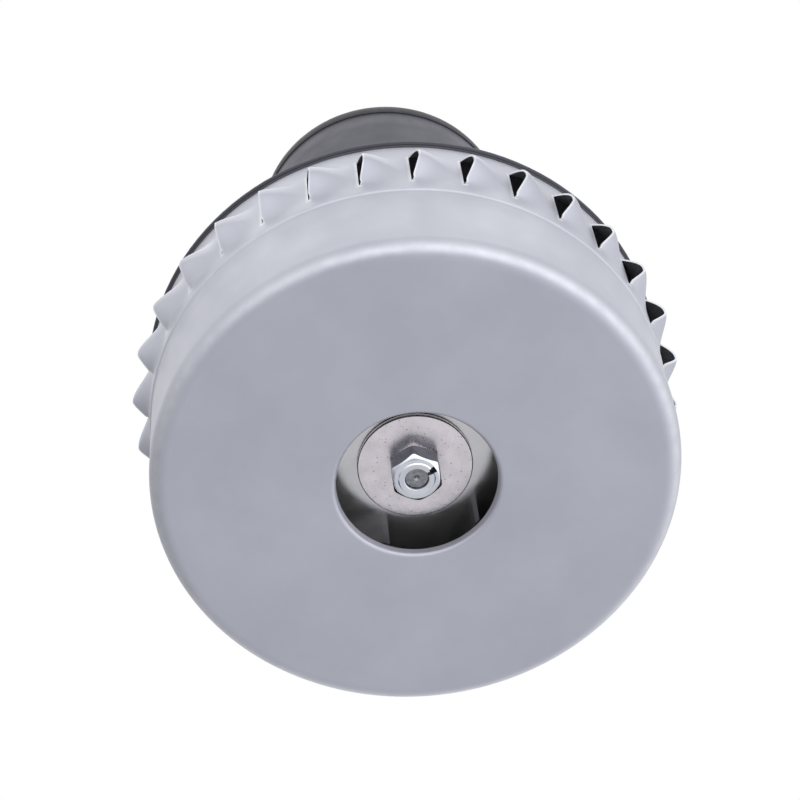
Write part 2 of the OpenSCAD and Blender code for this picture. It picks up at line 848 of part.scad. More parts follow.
module rear_bracket() {
  color("#3a3b40") difference() {
    union() {
      translate([0, 0, rear_bearing_z - cup_floor]) cylinder(r = cup_r, h = rear_bearing_w + cup_floor);
      for (side = [0:90:270]) rotate([0, 0, side]) translate([cup_in_r + cut, -arm_w / 2, arm_z])
        cube([post_circle_r - cup_in_r - cut, arm_w, arm_t]);
      translate([0, 0, arm_z]) ring(post_circle_r + ring_half, post_circle_r - ring_half, ring_h);
      turned(four_turns, post_circle_r)
        translate([0, 0, core_top]) cylinder(r = post_r, h = arm_z - core_top + cut);
    }
    translate([0, 0, rear_bearing_z]) cylinder(r = cup_in_r, h = rear_bearing_w + cut);
    translate([0, 0, rear_bearing_z - cup_floor - cut]) cylinder(r = cup_hole_r, h = cup_floor + 2 * cut);
    turned(four_turns, post_circle_r)
      translate([0, 0, core_top - cut]) cylinder(r = screw_hole_r, h = arm_z + arm_t - core_top + 2 * cut);
  }
}

// Brush tube on the +X side
module brush_tube() {
  color("#b08d45") translate([tube_in_r, 0, brush_z]) difference() {
    translate([0, -tube_half_w, -tube_half_h]) cube([tube_len, 2 * tube_half_w, 2 * tube_half_h]);
    translate([-cut, -tube_half_w + tube_wall, -tube_half_h + tube_wall])
      cube([tube_len + 2 * cut, brush_w + 2 * brush_fit, brush_h + 2 * brush_fit]);
  }
}

// Carbon brush on the +X side, hollowed to the commutator
module carbon_brush() {
  color("#2e2e30") difference() {
    translate([0, -brush_w / 2, brush_z - brush_h / 2]) cube([brush_out_r, brush_w, brush_h]);
    translate([0, 0, brush_z - brush_h]) cylinder(r = brush_in_r, h = 2 * brush_h);
  }
}

// Spring between the brush and its cap on the +X side, as its outer sleeve
module brush_spring() {
  color("#b9bcc2") translate([brush_out_r, 0, brush_z]) rotate([0, 90, 0])
    ring(spring_r, spring_r - spring_wire, tube_out_r - brush_out_r);
}

// Cap that closes the brush tube on the +X side
module brush_cap() {
  color("#b08d45") translate([tube_out_r, -tube_half_w, brush_z - tube_half_h])
    cube([cap_t, 2 * tube_half_w, 2 * tube_half_h]);
}

module brush_tube_left() {
  rotate([0, 0, 180]) brush_tube();
}

module brush_tube_right() {
  brush_tube();
}

module carbon_brush_left() {
  rotate([0, 0, 180]) carbon_brush();
}

module carbon_brush_right() {
  carbon_brush();
}

module brush_spring_left() {
  rotate([0, 0, 180]) brush_spring();
}

module brush_spring_right() {
  brush_spring();
}

module brush_cap_left() {
  rotate([0, 0, 180]) brush_cap();
}

module brush_cap_right() {
  brush_cap();
}

// Section of the housing: flange, fillet and drafted wall
module housing_section() {
  flange_top = flange_z + flange_t;
  polygon([
    [housing_in_r, flange_z],
    [flange_r - flange_edge, flange_z],
    [flange_r, flange_z + flange_edge],
    [flange_r, flange_top - flange_edge],
    [flange_r - flange_edge, flange_top],
    [housing_base_r, flange_top],
    [housing_base_r, flange_top + fillet_r],
    [housing_top_r, joint_z],
    [housing_in_r, joint_z]
  ]);
  difference() {
    translate([housing_in_r, flange_z])
      square([housing_base_r + fillet_r - housing_in_r, flange_t + fillet_r]);
    translate([housing_base_r + fillet_r, flange_top + fillet_r]) circle(r = fillet_r);
  }
}

// Upright slot with round ends
module slot(w, h) {
  translate([-w / 2, w / 2]) square([w, h - w]);
  for (y = [w / 2, h - w / 2]) translate([0, y]) circle(d = w);
}

module motor_housing() {
  color("#6f6e74") difference() {
    union() {
      rotate_extrude() housing_section();
      turned(three_turns, cover_post_circle_r) translate([0, 0, joint_z - skirt_h - cover_post_h]) {
        cylinder(r = cover_post_r, h = cover_post_h);
        translate([0, -web_t / 2, 0]) cube([housing_in_r - cover_post_circle_r + cut, web_t, cover_post_h]);
      }
    }
    for (i = [0:vent_count - 1]) rotate([0, 0, (i + 0.5) * 360 / vent_count])
      translate([housing_in_r - cut, 0, vent_z]) rotate([90, 0, 90])
        linear_extrude(housing_base_r - housing_in_r + 2 * cut) slot(vent_w, vent_h);
    translate([-terminal_w / 2 - terminal_fit, 0, terminal_z - terminal_h / 2 - terminal_fit])
      cube([terminal_w + 2 * terminal_fit, flange_r, terminal_h + 2 * terminal_fit]);
    turned(three_turns, cover_post_circle_r) translate([0, 0, joint_z - skirt_h - thread_depth / 2])
      cylinder(r = screw_hole_r, h = thread_depth);
    flange_holes(flange_z, flange_z + flange_t);
  }
}

// Section of the cover: rim with a rounded edge, skirt, top and boss
module cover_section() {
  top_z = joint_z + cover_h;
  difference() {
    union() {
      translate([0, joint_z]) square([cover_r - cover_round, cover_h]);
      translate([0, joint_z]) square([cover_r, cover_h - cover_round]);
      translate([cover_r - cover_round, top_z - cover_round]) circle(r = cover_round);
      translate([0, joint_z - skirt_h]) square([housing_in_r - skirt_fit, skirt_h + cut]);
      translate([0, joint_z]) square([boss_r, cover_h + boss_h]);
    }
    translate([0, joint_z - skirt_h])
      square([housing_in_r - skirt_fit - skirt_t, skirt_h + cover_h - cover_t]);
  }
}

module top_cover() {
  color("#5f5e64") difference() {
    union() {
      rotate_extrude() cover_section();
      turned(three_turns, cover_post_circle_r) translate([0, 0, joint_z - skirt_h])
        cylinder(r = cover_post_r, h = skirt_h + cover_h - cover_t / 2);
    }
    for (i = [0:grille_count - 1]) rotate([0, 0, i * 360 / grille_count - 90])
      translate([0, grille_in_r, joint_z + cover_h - cover_t - cut])
        linear_extrude(cover_t + 2 * cut) slot(grille_w, grille_out_r - grille_in_r);
    turned(three_turns, cover_post_circle_r) translate([0, 0, joint_z - skirt_h - cut])
      cylinder(r = screw_hole_r, h = skirt_h + cover_h + 2 * cut);
  }
}

module terminal_block() {
  color("#2b2c30") difference() {
    union() {
      translate([-terminal_w / 2, lug_y - lug_t, terminal_z - terminal_h / 2])
        cube([terminal_w, pad_y - lug_y + lug_t, terminal_h]);
      translate([-lug_half, lug_y - lug_t, terminal_z - terminal_h / 2])
        cube([2 * lug_half, lug_t, terminal_h]);
    }
    for (x = [-tab_pitch / 2, tab_pitch / 2])
      translate([x - tab_t / 2 - tab_fit, lug_y - lug_t - cut, terminal_z - tab_w / 2 - tab_fit])
        cube([tab_t + 2 * tab_fit, flange_r, tab_w + 2 * tab_fit]);
  }
}

module terminal_tabs() {
  color("#c9b26a") for (x = [-tab_pitch / 2, tab_pitch / 2])
    translate([x - tab_t / 2, lug_y - 2 * lug_t, terminal_z - tab_w / 2])
      cube([tab_t, pad_y + tab_out - lug_y + 2 * lug_t, tab_w]);
}

module housing_screws() {
  color("#9da0a6") turned(four_turns, flange_screw_circle_r)
    translate([0, 0, flange_z + flange_t]) screw(flange_t + gasket_t + bracket_t);
}

module cover_screws() {
  color("#9da0a6") turned(three_turns, cover_post_circle_r)
    translate([0, 0, joint_z + cover_h]) screw(cover_h + skirt_h + thread_depth / 2 - cut);
}

fan_shroud();
shroud_gasket();
motor_housing();
top_cover();
fan_end_bracket();
guide_plate();
return_vanes();
stage_plate();
impeller_1_front_plate();
impeller_1_blades();
impeller_1_back_plate();
impeller_2_front_plate();
impeller_2_blades();
impeller_2_back_plate();
shaft();
shaft_nut();
clamp_washer();
impeller_spacer();
bearing_spacer();
fan_bearing_outer_ring();
fan_bearing_balls();
fan_bearing_inner_ring();
rear_bearing_outer_ring();
rear_bearing_balls();
rear_bearing_inner_ring();
rear_bearing_damper();
armature_core();
armature_winding();
commutator();
cooling_fan();
stator_core();
field_coil_front();
field_coil_back();
stator_screws();
rear_bracket();
brush_tube_left();
brush_tube_right();
carbon_brush_left();
carbon_brush_right();
brush_spring_left();
brush_spring_right();
brush_cap_left();
brush_cap_right();
terminal_block();
terminal_tabs();
housing_screws();
cover_screws();
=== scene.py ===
"""Dresses the two-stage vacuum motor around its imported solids.

The louvred fan shroud, the clamp washer and the shaft nut are new surfaces. The other pieces keep their solids,
and get their finishes and softened edges here.
"""

import logging
import math
from dataclasses import dataclass
from enum import Enum, IntEnum

import bpy
import numpy as np
from mathutils import Matrix, Vector


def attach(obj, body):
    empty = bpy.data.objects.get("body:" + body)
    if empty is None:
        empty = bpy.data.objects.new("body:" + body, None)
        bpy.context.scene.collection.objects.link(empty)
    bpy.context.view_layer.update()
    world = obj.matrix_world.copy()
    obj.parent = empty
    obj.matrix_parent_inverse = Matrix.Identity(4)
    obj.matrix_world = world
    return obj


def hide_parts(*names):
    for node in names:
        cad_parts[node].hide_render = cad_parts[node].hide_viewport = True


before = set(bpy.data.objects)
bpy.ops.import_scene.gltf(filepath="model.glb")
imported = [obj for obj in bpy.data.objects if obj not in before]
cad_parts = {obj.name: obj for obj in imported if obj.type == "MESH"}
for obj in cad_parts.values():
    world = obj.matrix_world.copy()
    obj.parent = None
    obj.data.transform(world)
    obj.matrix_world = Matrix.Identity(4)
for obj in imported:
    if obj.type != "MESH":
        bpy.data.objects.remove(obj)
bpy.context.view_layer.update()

LOG = logging.getLogger("vacuum_motor")
MM = 0.001
FRAME_BODY = "motor_frame"
ROTOR_BODY = "rotor"

# Sockets of a colour Mix node: factor, first colour and second colour, and the colour that comes out.
MIX_INPUTS = (0, 6, 7)
MIX_OUTPUT = 2

# The gloss is mottled this much finer than the colour, and turned rings add this much roughness.
GLOSS_FINER = 3.1
RING_GLOSS = 0.1

# New pieces keep edges sharp that bend more than the first angle. Solids get a bevel on edges that bend more than
# the second, once points closer than the gap, in metres, are joined.
SMOOTH_DEG = 35.0
BEVEL_DEG = 40.0
BEVEL_STEPS = 2
WELD_GAP = 0.000002

Colour = tuple[float, float, float]
Way = tuple[float, float, float]
Range = tuple[float, float]


class Effect(Enum):
    """Surface effects that several finishes share."""

    MOTTLE = "soft mottle"
    GRAIN = "fine grain"
    RINGS = "turned rings"
    SPECKS = "dark specks"
    # Painted highlight: lightens the sheet's folds, corner, crease and cut edges towards a near white.
    HIGHLIGHT = "worn fold"


class Column(IntEnum):
    """The first columns of every louvre."""

    CUT = 0
    MOUTH = 1
    ROOF = 2


class NutSlot(IntEnum):
    """Material slots of the nut."""

    FACE = 0
    # The flats get painted shade, and the notch gets near-black painted shade.
    FLATS = 1
    NOTCH_SHADE = 2


class Graph:
    """A short way to write the nodes of a material, a group or the world."""

    def __init__(self, tree: bpy.types.NodeTree) -> None:
        """Keeps the tree that the nodes go into."""
        self.tree = tree

    def add(self, kind: str, inputs: dict | None = None, **settings: object) -> bpy.types.Node:
        """Adds one node.

        Args:
            kind: the node's class name.
            inputs: value or source socket for each named or numbered input.
            settings: attributes of the node itself.

        Returns:
            The new node.
        """
        node = self.tree.nodes.new(kind)
        for key, value in settings.items():
            setattr(node, key, value)
        for key, value in (inputs or {}).items():
            self.feed(node.inputs[key], value)
        return node

    def feed(self, socket: bpy.types.NodeSocket, value: object) -> None:
        """Links a source socket to an input, or sets the input's own value."""
        if isinstance(value, bpy.types.NodeSocket):
            self.tree.links.new(value, socket)
        else:
            socket.default_value = value

    def math(self, operation: str, first: object, second: object = 0.0) -> bpy.types.NodeSocket:
        """Returns the output of a Math node on two values or sockets."""
        return self.add("ShaderNodeMath", {0: first, 1: second}, operation=operation).outputs[0]

    def spread(self, value: object, old: Range, new: tuple[object, object]) -> bpy.types.NodeSocket:
        """Returns a value moved from one range to another, and held inside it."""
        inputs = {"Value": value, "From Min": old[0], "From Max": old[1], "To Min": new[0], "To Max": new[1]}
        return self.add("ShaderNodeMapRange", inputs, clamp=True).outputs["Result"]

    def blend(self, factor: object, first: object, second: object) -> bpy.types.NodeSocket:
        """Returns a colour between two colours."""
        node = self.add("ShaderNodeMix", data_type="RGBA")
        for index, value in zip(MIX_INPUTS, (factor, first, second)):
            self.feed(node.inputs[index], value)
        return node.outputs[MIX_OUTPUT]


class EffectShelf:
    """The shared effects as shader node groups and the finished materials, each built once."""

    MOTTLE_RANGE: Range = (0.32, 0.68)
    RING_RANGE: Range = (0.3, 0.7)
    SPECK_EDGE: Range = (0.08, 0.24)
    SPECK_COARSER: float = 0.35
    SPECK_KEPT: Range = (0.46, 0.56)
    # Noise range and least share of the painted highlight on the folds.
    HIGHLIGHT_RANGE: Range = (0.35, 0.6)
    HIGHLIGHT_LEAST: float = 0.6

    def __init__(self) -> None:
        """Builds every group."""
        self.materials: dict[str, bpy.types.Material] = {}
        self.groups = {
            Effect.MOTTLE: self._mottle(),
            Effect.GRAIN: self._grain(),
            Effect.RINGS: self._rings(),
            Effect.SPECKS: self._specks(),
            Effect.HIGHLIGHT: self._painted_highlight(),
        }

    @staticmethod
    def _group(effect: Effect, floats: tuple[str, ...]) -> tuple[Graph, bpy.types.Node, bpy.types.Node]:
        """Starts a group with a vector, some numbers and one output.

        Args:
            effect: the effect that names the group.
            floats: names of its number inputs.

        Returns:
            The group's graph, its input node and its output node.
        """
        tree = bpy.data.node_groups.new(effect.value, "ShaderNodeTree")
        tree.interface.new_socket("Vector", in_out="INPUT", socket_type="NodeSocketVector")
        for name in floats:
            tree.interface.new_socket(name, in_out="INPUT", socket_type="NodeSocketFloat")
        tree.interface.new_socket("Factor", in_out="OUTPUT", socket_type="NodeSocketFloat")
        graph = Graph(tree)
        return graph, graph.add("NodeGroupInput"), graph.add("NodeGroupOutput")

    @staticmethod
    def _noise(graph: Graph, source: bpy.types.Node, detail: float, roughness: float) -> bpy.types.NodeSocket:
        """Returns a noise over a group's vector, at the group's scale."""
        inputs = {name: source.outputs[name] for name in ("Vector", "Scale")}
        inputs |= {"Detail": detail, "Roughness": roughness}
        return graph.add("ShaderNodeTexNoise", inputs).outputs["Fac"]

    def _mottle(self) -> bpy.types.NodeTree:
        """Broad cloudy change between two values."""
        graph, source, target = self._group(Effect.MOTTLE, ("Scale", "Low", "High"))
        noise = self._noise(graph, source, 4.0, 0.55)
        ends = (source.outputs["Low"], source.outputs["High"])
        graph.feed(target.inputs["Factor"], graph.spread(noise, self.MOTTLE_RANGE, ends))
        return graph.tree

    def _grain(self) -> bpy.types.NodeTree:
        """Fine even grain, as a height from 0 to 1."""
        graph, source, target = self._group(Effect.GRAIN, ("Scale",))
        graph.feed(target.inputs["Factor"], self._noise(graph, source, 2.0, 0.6))
        return graph.tree

    def _rings(self) -> bpy.types.NodeTree:
        """Fine rings round the shaft: noise along the distance from the Z axis."""
        graph, source, target = self._group(Effect.RINGS, ("Scale",))
        flat = graph.add(
            "ShaderNodeVectorMath",
            {0: source.outputs["Vector"], 1: (1.0, 1.0, 0.0)},
            operation="MULTIPLY",
        )
        away = graph.add("ShaderNodeVectorMath", {0: flat.outputs["Vector"]}, operation="LENGTH")
        noise = graph.add(
            "ShaderNodeTexNoise",
            {"W": away.outputs["Value"], "Scale": source.outputs["Scale"], "Detail": 3.0, "Roughness": 0.7},
            noise_dimensions="1D",
        )
        graph.feed(target.inputs["Factor"], graph.spread(noise.outputs["Fac"], self.RING_RANGE, (0.0, 1.0)))
        return graph.tree

    def _specks(self) -> bpy.types.NodeTree:
        """Scattered small specks: cells whose middle is close, thinned by a second noise."""
        graph, source, target = self._group(Effect.SPECKS, ("Scale", "Amount"))
        cells = graph.add(
            "ShaderNodeTexVoronoi",
            {"Vector": source.outputs["Vector"], "Scale": source.outputs["Scale"], "Randomness": 1.0},
        )
        near = graph.spread(cells.outputs["Distance"], self.SPECK_EDGE, (1.0, 0.0))
        scale = graph.math("MULTIPLY", source.outputs["Scale"], self.SPECK_COARSER)
        noise = graph.add("ShaderNodeTexNoise", {"Vector": source.outputs["Vector"], "Scale": scale})
        chosen = graph.spread(noise.outputs["Fac"], self.SPECK_KEPT, (0.0, source.outputs["Amount"]))
        graph.feed(target.inputs["Factor"], graph.math("MULTIPLY", near, chosen))
        return graph.tree

    def _painted_highlight(self) -> bpy.types.NodeTree:
        """Painted highlight on the folds: the piece's own fold mask, broken up by noise."""
        graph, source, target = self._group(Effect.HIGHLIGHT, ("Scale", "Fold", "Amount"))
        noise = self._noise(graph, source, 3.0, 0.5)
        broken = graph.spread(noise, self.HIGHLIGHT_RANGE, (self.HIGHLIGHT_LEAST, 1.0))
        kept = graph.math("MULTIPLY", source.outputs["Fold"], broken)
        graph.feed(target.inputs["Factor"], graph.math("MULTIPLY", kept, source.outputs["Amount"]))
        return graph.tree

    def place(self, graph: Graph, effect: Effect, vector: object, **values: object) -> bpy.types.NodeSocket:
        """Places an effect in a material.

        Args:
            graph: the material's graph.
            effect: the effect to place.
            vector: socket with the coordinates.
            values: numbers or sockets for the group's other inputs.

        Returns:
            The effect's output socket.
        """
        node = graph.add("ShaderNodeGroup", node_tree=self.groups[effect], label=effect.value)
        graph.feed(node.inputs["Vector"], vector)
        for name, value in values.items():
            graph.feed(node.inputs[name], value)
        return node.outputs["Factor"]


@dataclass(frozen=True)
class Finish:
    """One finish: colours, gloss and the strength of each effect. Scales are per metre and depths in metres."""

    name: str
    light: Colour
    dark: Colour
    metallic: float
    roughness: float
    rough_spread: float = 0.06
    mottle_scale: float = 45.0
    grain_scale: float = 1800.0
    grain_depth: float = 0.00001
    rings: float = 0.0
    ring_scale: float = 900.0
    specks: float = 0.0
    speck_scale: float = 700.0
    speck_colour: Colour = (0.05, 0.05, 0.05)
    # Painted highlight on the fold mask: its strength, noise scale and near-white colour.
    painted_highlight: float = 0.0
    highlight_scale: float = 260.0
    highlight_colour: Colour = (0.9, 0.9, 0.92)
    specular: float = 0.5

    def material(self, shelf: EffectShelf) -> bpy.types.Material:
        """Builds the finish as a material, or returns the one that is already there.

        Args:
            shelf: the shared effects.

        Returns:
            The material.
        """
        if self.name in shelf.materials:
            return shelf.materials[self.name]
        material = bpy.data.materials.new(f"{self.name}_finish")
        shelf.materials[self.name] = material
        material.use_nodes = True
        material.node_tree.nodes.clear()
        graph = Graph(material.node_tree)
        place = graph.add("ShaderNodeTexCoord").outputs["Object"]
        shader = graph.add("ShaderNodeBsdfPrincipled")
        self._colour(graph, shelf, place, shader)
        self._gloss(graph, shelf, place, shader)
        self._relief(graph, shelf, place, shader)
        output = graph.add("ShaderNodeOutputMaterial")
        graph.feed(output.inputs["Surface"], shader.outputs["BSDF"])
        return material

    def _colour(self, graph: Graph, shelf: EffectShelf, place: object, shader: bpy.types.Node) -> None:
        """Mottles the colour, then adds specks and the painted highlight on the folds."""
        cloud = shelf.place(graph, Effect.MOTTLE, place, Scale=self.mottle_scale, Low=0.0, High=1.0)
        colour = graph.blend(cloud, (*self.dark, 1.0), (*self.light, 1.0))
        if self.specks:
            spot = shelf.place(graph, Effect.SPECKS, place, Scale=self.speck_scale, Amount=self.specks)
            colour = graph.blend(spot, colour, (*self.speck_colour, 1.0))
        if self.painted_highlight:
            # Painted highlight: the fold mask blends the colour towards the highlight colour.
            fold = graph.add("ShaderNodeAttribute", attribute_name="fold").outputs["Fac"]
            highlighted = shelf.place(graph, Effect.HIGHLIGHT, place, Scale=self.highlight_scale, Fold=fold, Amount=self.painted_highlight)
            colour = graph.blend(highlighted, colour, (*self.highlight_colour, 1.0))
        graph.feed(shader.inputs["Base Color"], colour)

    def _gloss(self, graph: Graph, shelf: EffectShelf, place: object, shader: bpy.types.Node) -> None:
        """Sets the constant gloss values and varies the roughness."""
        shader.inputs["Metallic"].default_value = self.metallic
        shader.inputs["Specular IOR Level"].default_value = self.specular
        low, high = self.roughness - self.rough_spread, self.roughness + self.rough_spread
        scale = self.mottle_scale * GLOSS_FINER
        rough = shelf.place(graph, Effect.MOTTLE, place, Scale=scale, Low=low, High=high)
        if self.rings:
            ring = shelf.place(graph, Effect.RINGS, place, Scale=self.ring_scale)
            rough = graph.math("ADD", rough, graph.math("MULTIPLY", ring, self.rings * RING_GLOSS))
        graph.feed(shader.inputs["Roughness"], rough)

    def _relief(self, graph: Graph, shelf: EffectShelf, place: object, shader: bpy.types.Node) -> None:
        """Adds the fine grain and the turned rings as bump."""
        height = shelf.place(graph, Effect.GRAIN, place, Scale=self.grain_scale)
        if self.rings:
            ring = shelf.place(graph, Effect.RINGS, place, Scale=self.ring_scale)
            height = graph.math("ADD", height, graph.math("MULTIPLY", ring, self.rings))
        bump = graph.add("ShaderNodeBump", {"Height": height, "Distance": self.grain_depth, "Strength": 1.0})
        graph.feed(shader.inputs["Normal"], bump.outputs["Normal"])


# Zinc sheet, with a near-white painted highlight on its folds, corner, crease and cut edges.
ZINC = Finish(
    "zinc_sheet", light=(0.625, 0.635, 0.69), dark=(0.565, 0.575, 0.63), metallic=0.9, roughness=0.5,
    rough_spread=0.05, mottle_scale=30.0, grain_scale=1500.0, grain_depth=0.000006, painted_highlight=0.9,
    highlight_colour=(0.95, 0.95, 0.97),
)
# Painted shade: a dark copy of the zinc for the can's inside, which lies in shade.
INNER_SHADE = Finish(
    "inner_sheet_shade", light=(0.34, 0.345, 0.36), dark=(0.26, 0.265, 0.275), metallic=0.6, roughness=0.5,
    rough_spread=0.06, mottle_scale=60.0, grain_scale=1500.0, grain_depth=0.00001,
)
# Painted highlight: near white on the sheet's cut rims, where the edges catch the light.
CUT_EDGE_HIGHLIGHT = Finish(
    "cut_edge_highlight", light=(0.95, 0.95, 0.97), dark=(0.86, 0.87, 0.89), metallic=0.3, roughness=0.5,
    rough_spread=0.05, mottle_scale=200.0, grain_scale=2500.0, grain_depth=0.00001,
)
HOUSING = Finish(
    "housing_plastic", light=(0.08, 0.079, 0.1), dark=(0.067, 0.066, 0.085), metallic=0.0, roughness=0.48,
    rough_spread=0.05, mottle_scale=40.0, grain_scale=3200.0, grain_depth=0.00003, specular=0.28,
)
COVER = Finish(
    "cover_plastic", light=(0.05, 0.049, 0.056), dark=(0.041, 0.04, 0.046), metallic=0.0, roughness=0.46,
    rough_spread=0.05, mottle_scale=40.0, grain_scale=3200.0, grain_depth=0.00003, specular=0.3,
)
RUBBER = Finish(
    "gasket_rubber", light=(0.085, 0.085, 0.09), dark=(0.065, 0.065, 0.07), metallic=0.0, roughness=0.7,
    rough_spread=0.08, mottle_scale=120.0, grain_scale=2600.0, grain_depth=0.00004,
)
CAST = Finish(
    "cast_alloy", light=(0.48, 0.49, 0.51), dark=(0.4, 0.41, 0.43), metallic=0.9, roughness=0.48,
    rough_spread=0.08, mottle_scale=60.0, grain_scale=1400.0, grain_depth=0.00004,
)
SHEET = Finish(
    "plain_sheet", light=(0.56, 0.57, 0.59), dark=(0.5, 0.51, 0.53), metallic=0.95, roughness=0.34,
    rough_spread=0.06, mottle_scale=50.0, grain_scale=1500.0, grain_depth=0.00001,
)
ALUMINIUM = Finish(
    "fan_aluminium", light=(0.78, 0.77, 0.755), dark=(0.7, 0.69, 0.68), metallic=1.0, roughness=0.19,
    rough_spread=0.04, mottle_scale=70.0, grain_scale=1800.0, grain_depth=0.000004, rings=0.3,
    ring_scale=1500.0,
)
FAN_FRONT = Finish(
    "fan_front_aluminium", light=(0.75, 0.745, 0.75), dark=(0.65, 0.645, 0.65), metallic=1.0, roughness=0.4,
    rough_spread=0.05, mottle_scale=70.0, grain_scale=1800.0, grain_depth=0.000004, rings=0.3,
    ring_scale=1500.0,
)
# Painted shade: the blades' aluminium darkened almost to black, as they lie in shade inside the fan.
SHADED_BLADE = Finish(
    "fan_blade_shade", light=(0.13, 0.13, 0.137), dark=(0.1, 0.1, 0.106), metallic=0.9, roughness=0.42,
    rough_spread=0.05, mottle_scale=90.0, grain_scale=1800.0, grain_depth=0.00001,
)
TURNED = Finish(
    "turned_steel", light=(0.4, 0.405, 0.42), dark=(0.22, 0.225, 0.235), metallic=1.0, roughness=0.3,
    rough_spread=0.05, mottle_scale=900.0, grain_scale=2500.0, grain_depth=0.00002, rings=1.0,
    ring_scale=1500.0,
)
BRIGHT = Finish(
    "bright_nut", light=(0.86, 0.88, 0.91), dark=(0.78, 0.8, 0.84), metallic=1.0, roughness=0.09,
    rough_spread=0.03, mottle_scale=180.0, grain_scale=1600.0, grain_depth=0.000004,
)
# Painted shade and dark reflection: a dark copy of the nut's bright metal for its six flats.
NUT_FLATS_SHADE = Finish(
    "nut_side_shade", light=(0.2, 0.22, 0.25), dark=(0.15, 0.165, 0.19), metallic=1.0, roughness=0.16,
    rough_spread=0.04, mottle_scale=180.0, grain_scale=1600.0, grain_depth=0.000006,
)
WASHER = Finish(
    "washer_steel", light=(0.95, 0.885, 0.895), dark=(0.81, 0.755, 0.765), metallic=1.0, roughness=0.27,
    rough_spread=0.05, mottle_scale=190.0, grain_scale=1300.0, grain_depth=0.000012, specks=0.9,
    speck_scale=850.0, speck_colour=(0.3, 0.285, 0.29),
)
BEARING = Finish(
    "bearing_steel", light=(0.66, 0.67, 0.69), dark=(0.6, 0.61, 0.63), metallic=1.0, roughness=0.2,
    rough_spread=0.05, mottle_scale=150.0, grain_scale=2000.0, grain_depth=0.000005, rings=0.4,
    ring_scale=2200.0,
)
CORE = Finish(
    "core_sheet", light=(0.24, 0.25, 0.27), dark=(0.17, 0.175, 0.19), metallic=0.9, roughness=0.45,
    rough_spread=0.08, mottle_scale=90.0, grain_scale=1200.0, grain_depth=0.00003,
)
COPPER_WIRE = Finish(
    "copper_wire", light=(0.47, 0.19, 0.075), dark=(0.3, 0.11, 0.045), metallic=0.7, roughness=0.35,
    rough_spread=0.1, mottle_scale=220.0, grain_scale=900.0, grain_depth=0.0002,
)
COPPER_BAR = Finish(
    "copper_bars", light=(0.66, 0.33, 0.17), dark=(0.5, 0.24, 0.12), metallic=1.0, roughness=0.25,
    rough_spread=0.06, mottle_scale=200.0, grain_scale=1500.0, grain_depth=0.00001, rings=0.5,
    ring_scale=3000.0,
)
DARK = Finish(
    "dark_plastic", light=(0.035, 0.036, 0.04), dark=(0.024, 0.025, 0.028), metallic=0.0, roughness=0.45,
    rough_spread=0.06, mottle_scale=60.0, grain_scale=3000.0, grain_depth=0.00003,
)
BRASS = Finish(
    "brass_sheet", light=(0.66, 0.48, 0.19), dark=(0.54, 0.38, 0.14), metallic=1.0, roughness=0.3,
    rough_spread=0.06, mottle_scale=120.0, grain_scale=1800.0, grain_depth=0.00001,
)
CARBON = Finish(
    "carbon", light=(0.03, 0.03, 0.031), dark=(0.018, 0.018, 0.019), metallic=0.2, roughness=0.6,
    rough_spread=0.08, mottle_scale=200.0, grain_scale=2200.0, grain_depth=0.00004,
)
SPRING = Finish(
    "spring_steel", light=(0.55, 0.56, 0.58), dark=(0.45, 0.46, 0.48), metallic=1.0, roughness=0.3,
    rough_spread=0.06, mottle_scale=200.0, grain_scale=1800.0, grain_depth=0.00001,
)
TINNED = Finish(
    "tinned_brass", light=(0.66, 0.63, 0.54), dark=(0.56, 0.52, 0.42), metallic=1.0, roughness=0.28,
    rough_spread=0.06, mottle_scale=160.0, grain_scale=1600.0, grain_depth=0.00001,
)
SCREW = Finish(
    "screw_steel", light=(0.56, 0.57, 0.6), dark=(0.45, 0.46, 0.49), metallic=1.0, roughness=0.3,
    rough_spread=0.06, mottle_scale=200.0, grain_scale=1800.0, grain_depth=0.00001,
)


def quad_faces(index: np.ndarray, open_columns: np.ndarray | None = None) -> np.ndarray:
    """Joins a grid of point numbers into quads, closed round its columns.

    Args:
        index: point number of each row and column.
        open_columns: True for each column that isn't joined to the next one.

    Returns:
        Four point numbers for each quad.
    """
    after = np.roll(index, -1, axis=1)
    quads = np.stack([index[:-1], after[:-1], after[1:], index[1:]], axis=-1)
    if open_columns is not None:
        quads = quads[:, ~open_columns]
    return quads.reshape(-1, 4)


def revolve(profile: np.ndarray, columns: int) -> tuple[np.ndarray, np.ndarray]:
    """Carries a profile round the Z axis: (r, z) becomes (r cos a, r sin a, z).

    Args:
        profile: radius and height of each profile point, in millimetres.
        columns: number of copies round the axis.

    Returns:
        Points in metres and quads.
    """
    angle = np.linspace(0.0, 2.0 * np.pi, columns, endpoint=False)
    radius, height = profile[:, :1], profile[:, 1:]
    points = np.stack([radius * np.cos(angle), radius * np.sin(angle), height + 0.0 * angle], axis=-1)
    index = np.arange(points.shape[0] * columns).reshape(points.shape[0], columns)
    return points.reshape(-1, 3) * MM, quad_faces(index)


def arc(centre: tuple[float, float], radius: float, start: float, end: float, steps: int) -> np.ndarray:
    """Returns points on an arc of a profile, from one angle to another in degrees."""
    angle = np.radians(np.linspace(start, end, steps + 1))
    return np.stack([centre[0] + radius * np.cos(angle), centre[1] + radius * np.sin(angle)], axis=-1)


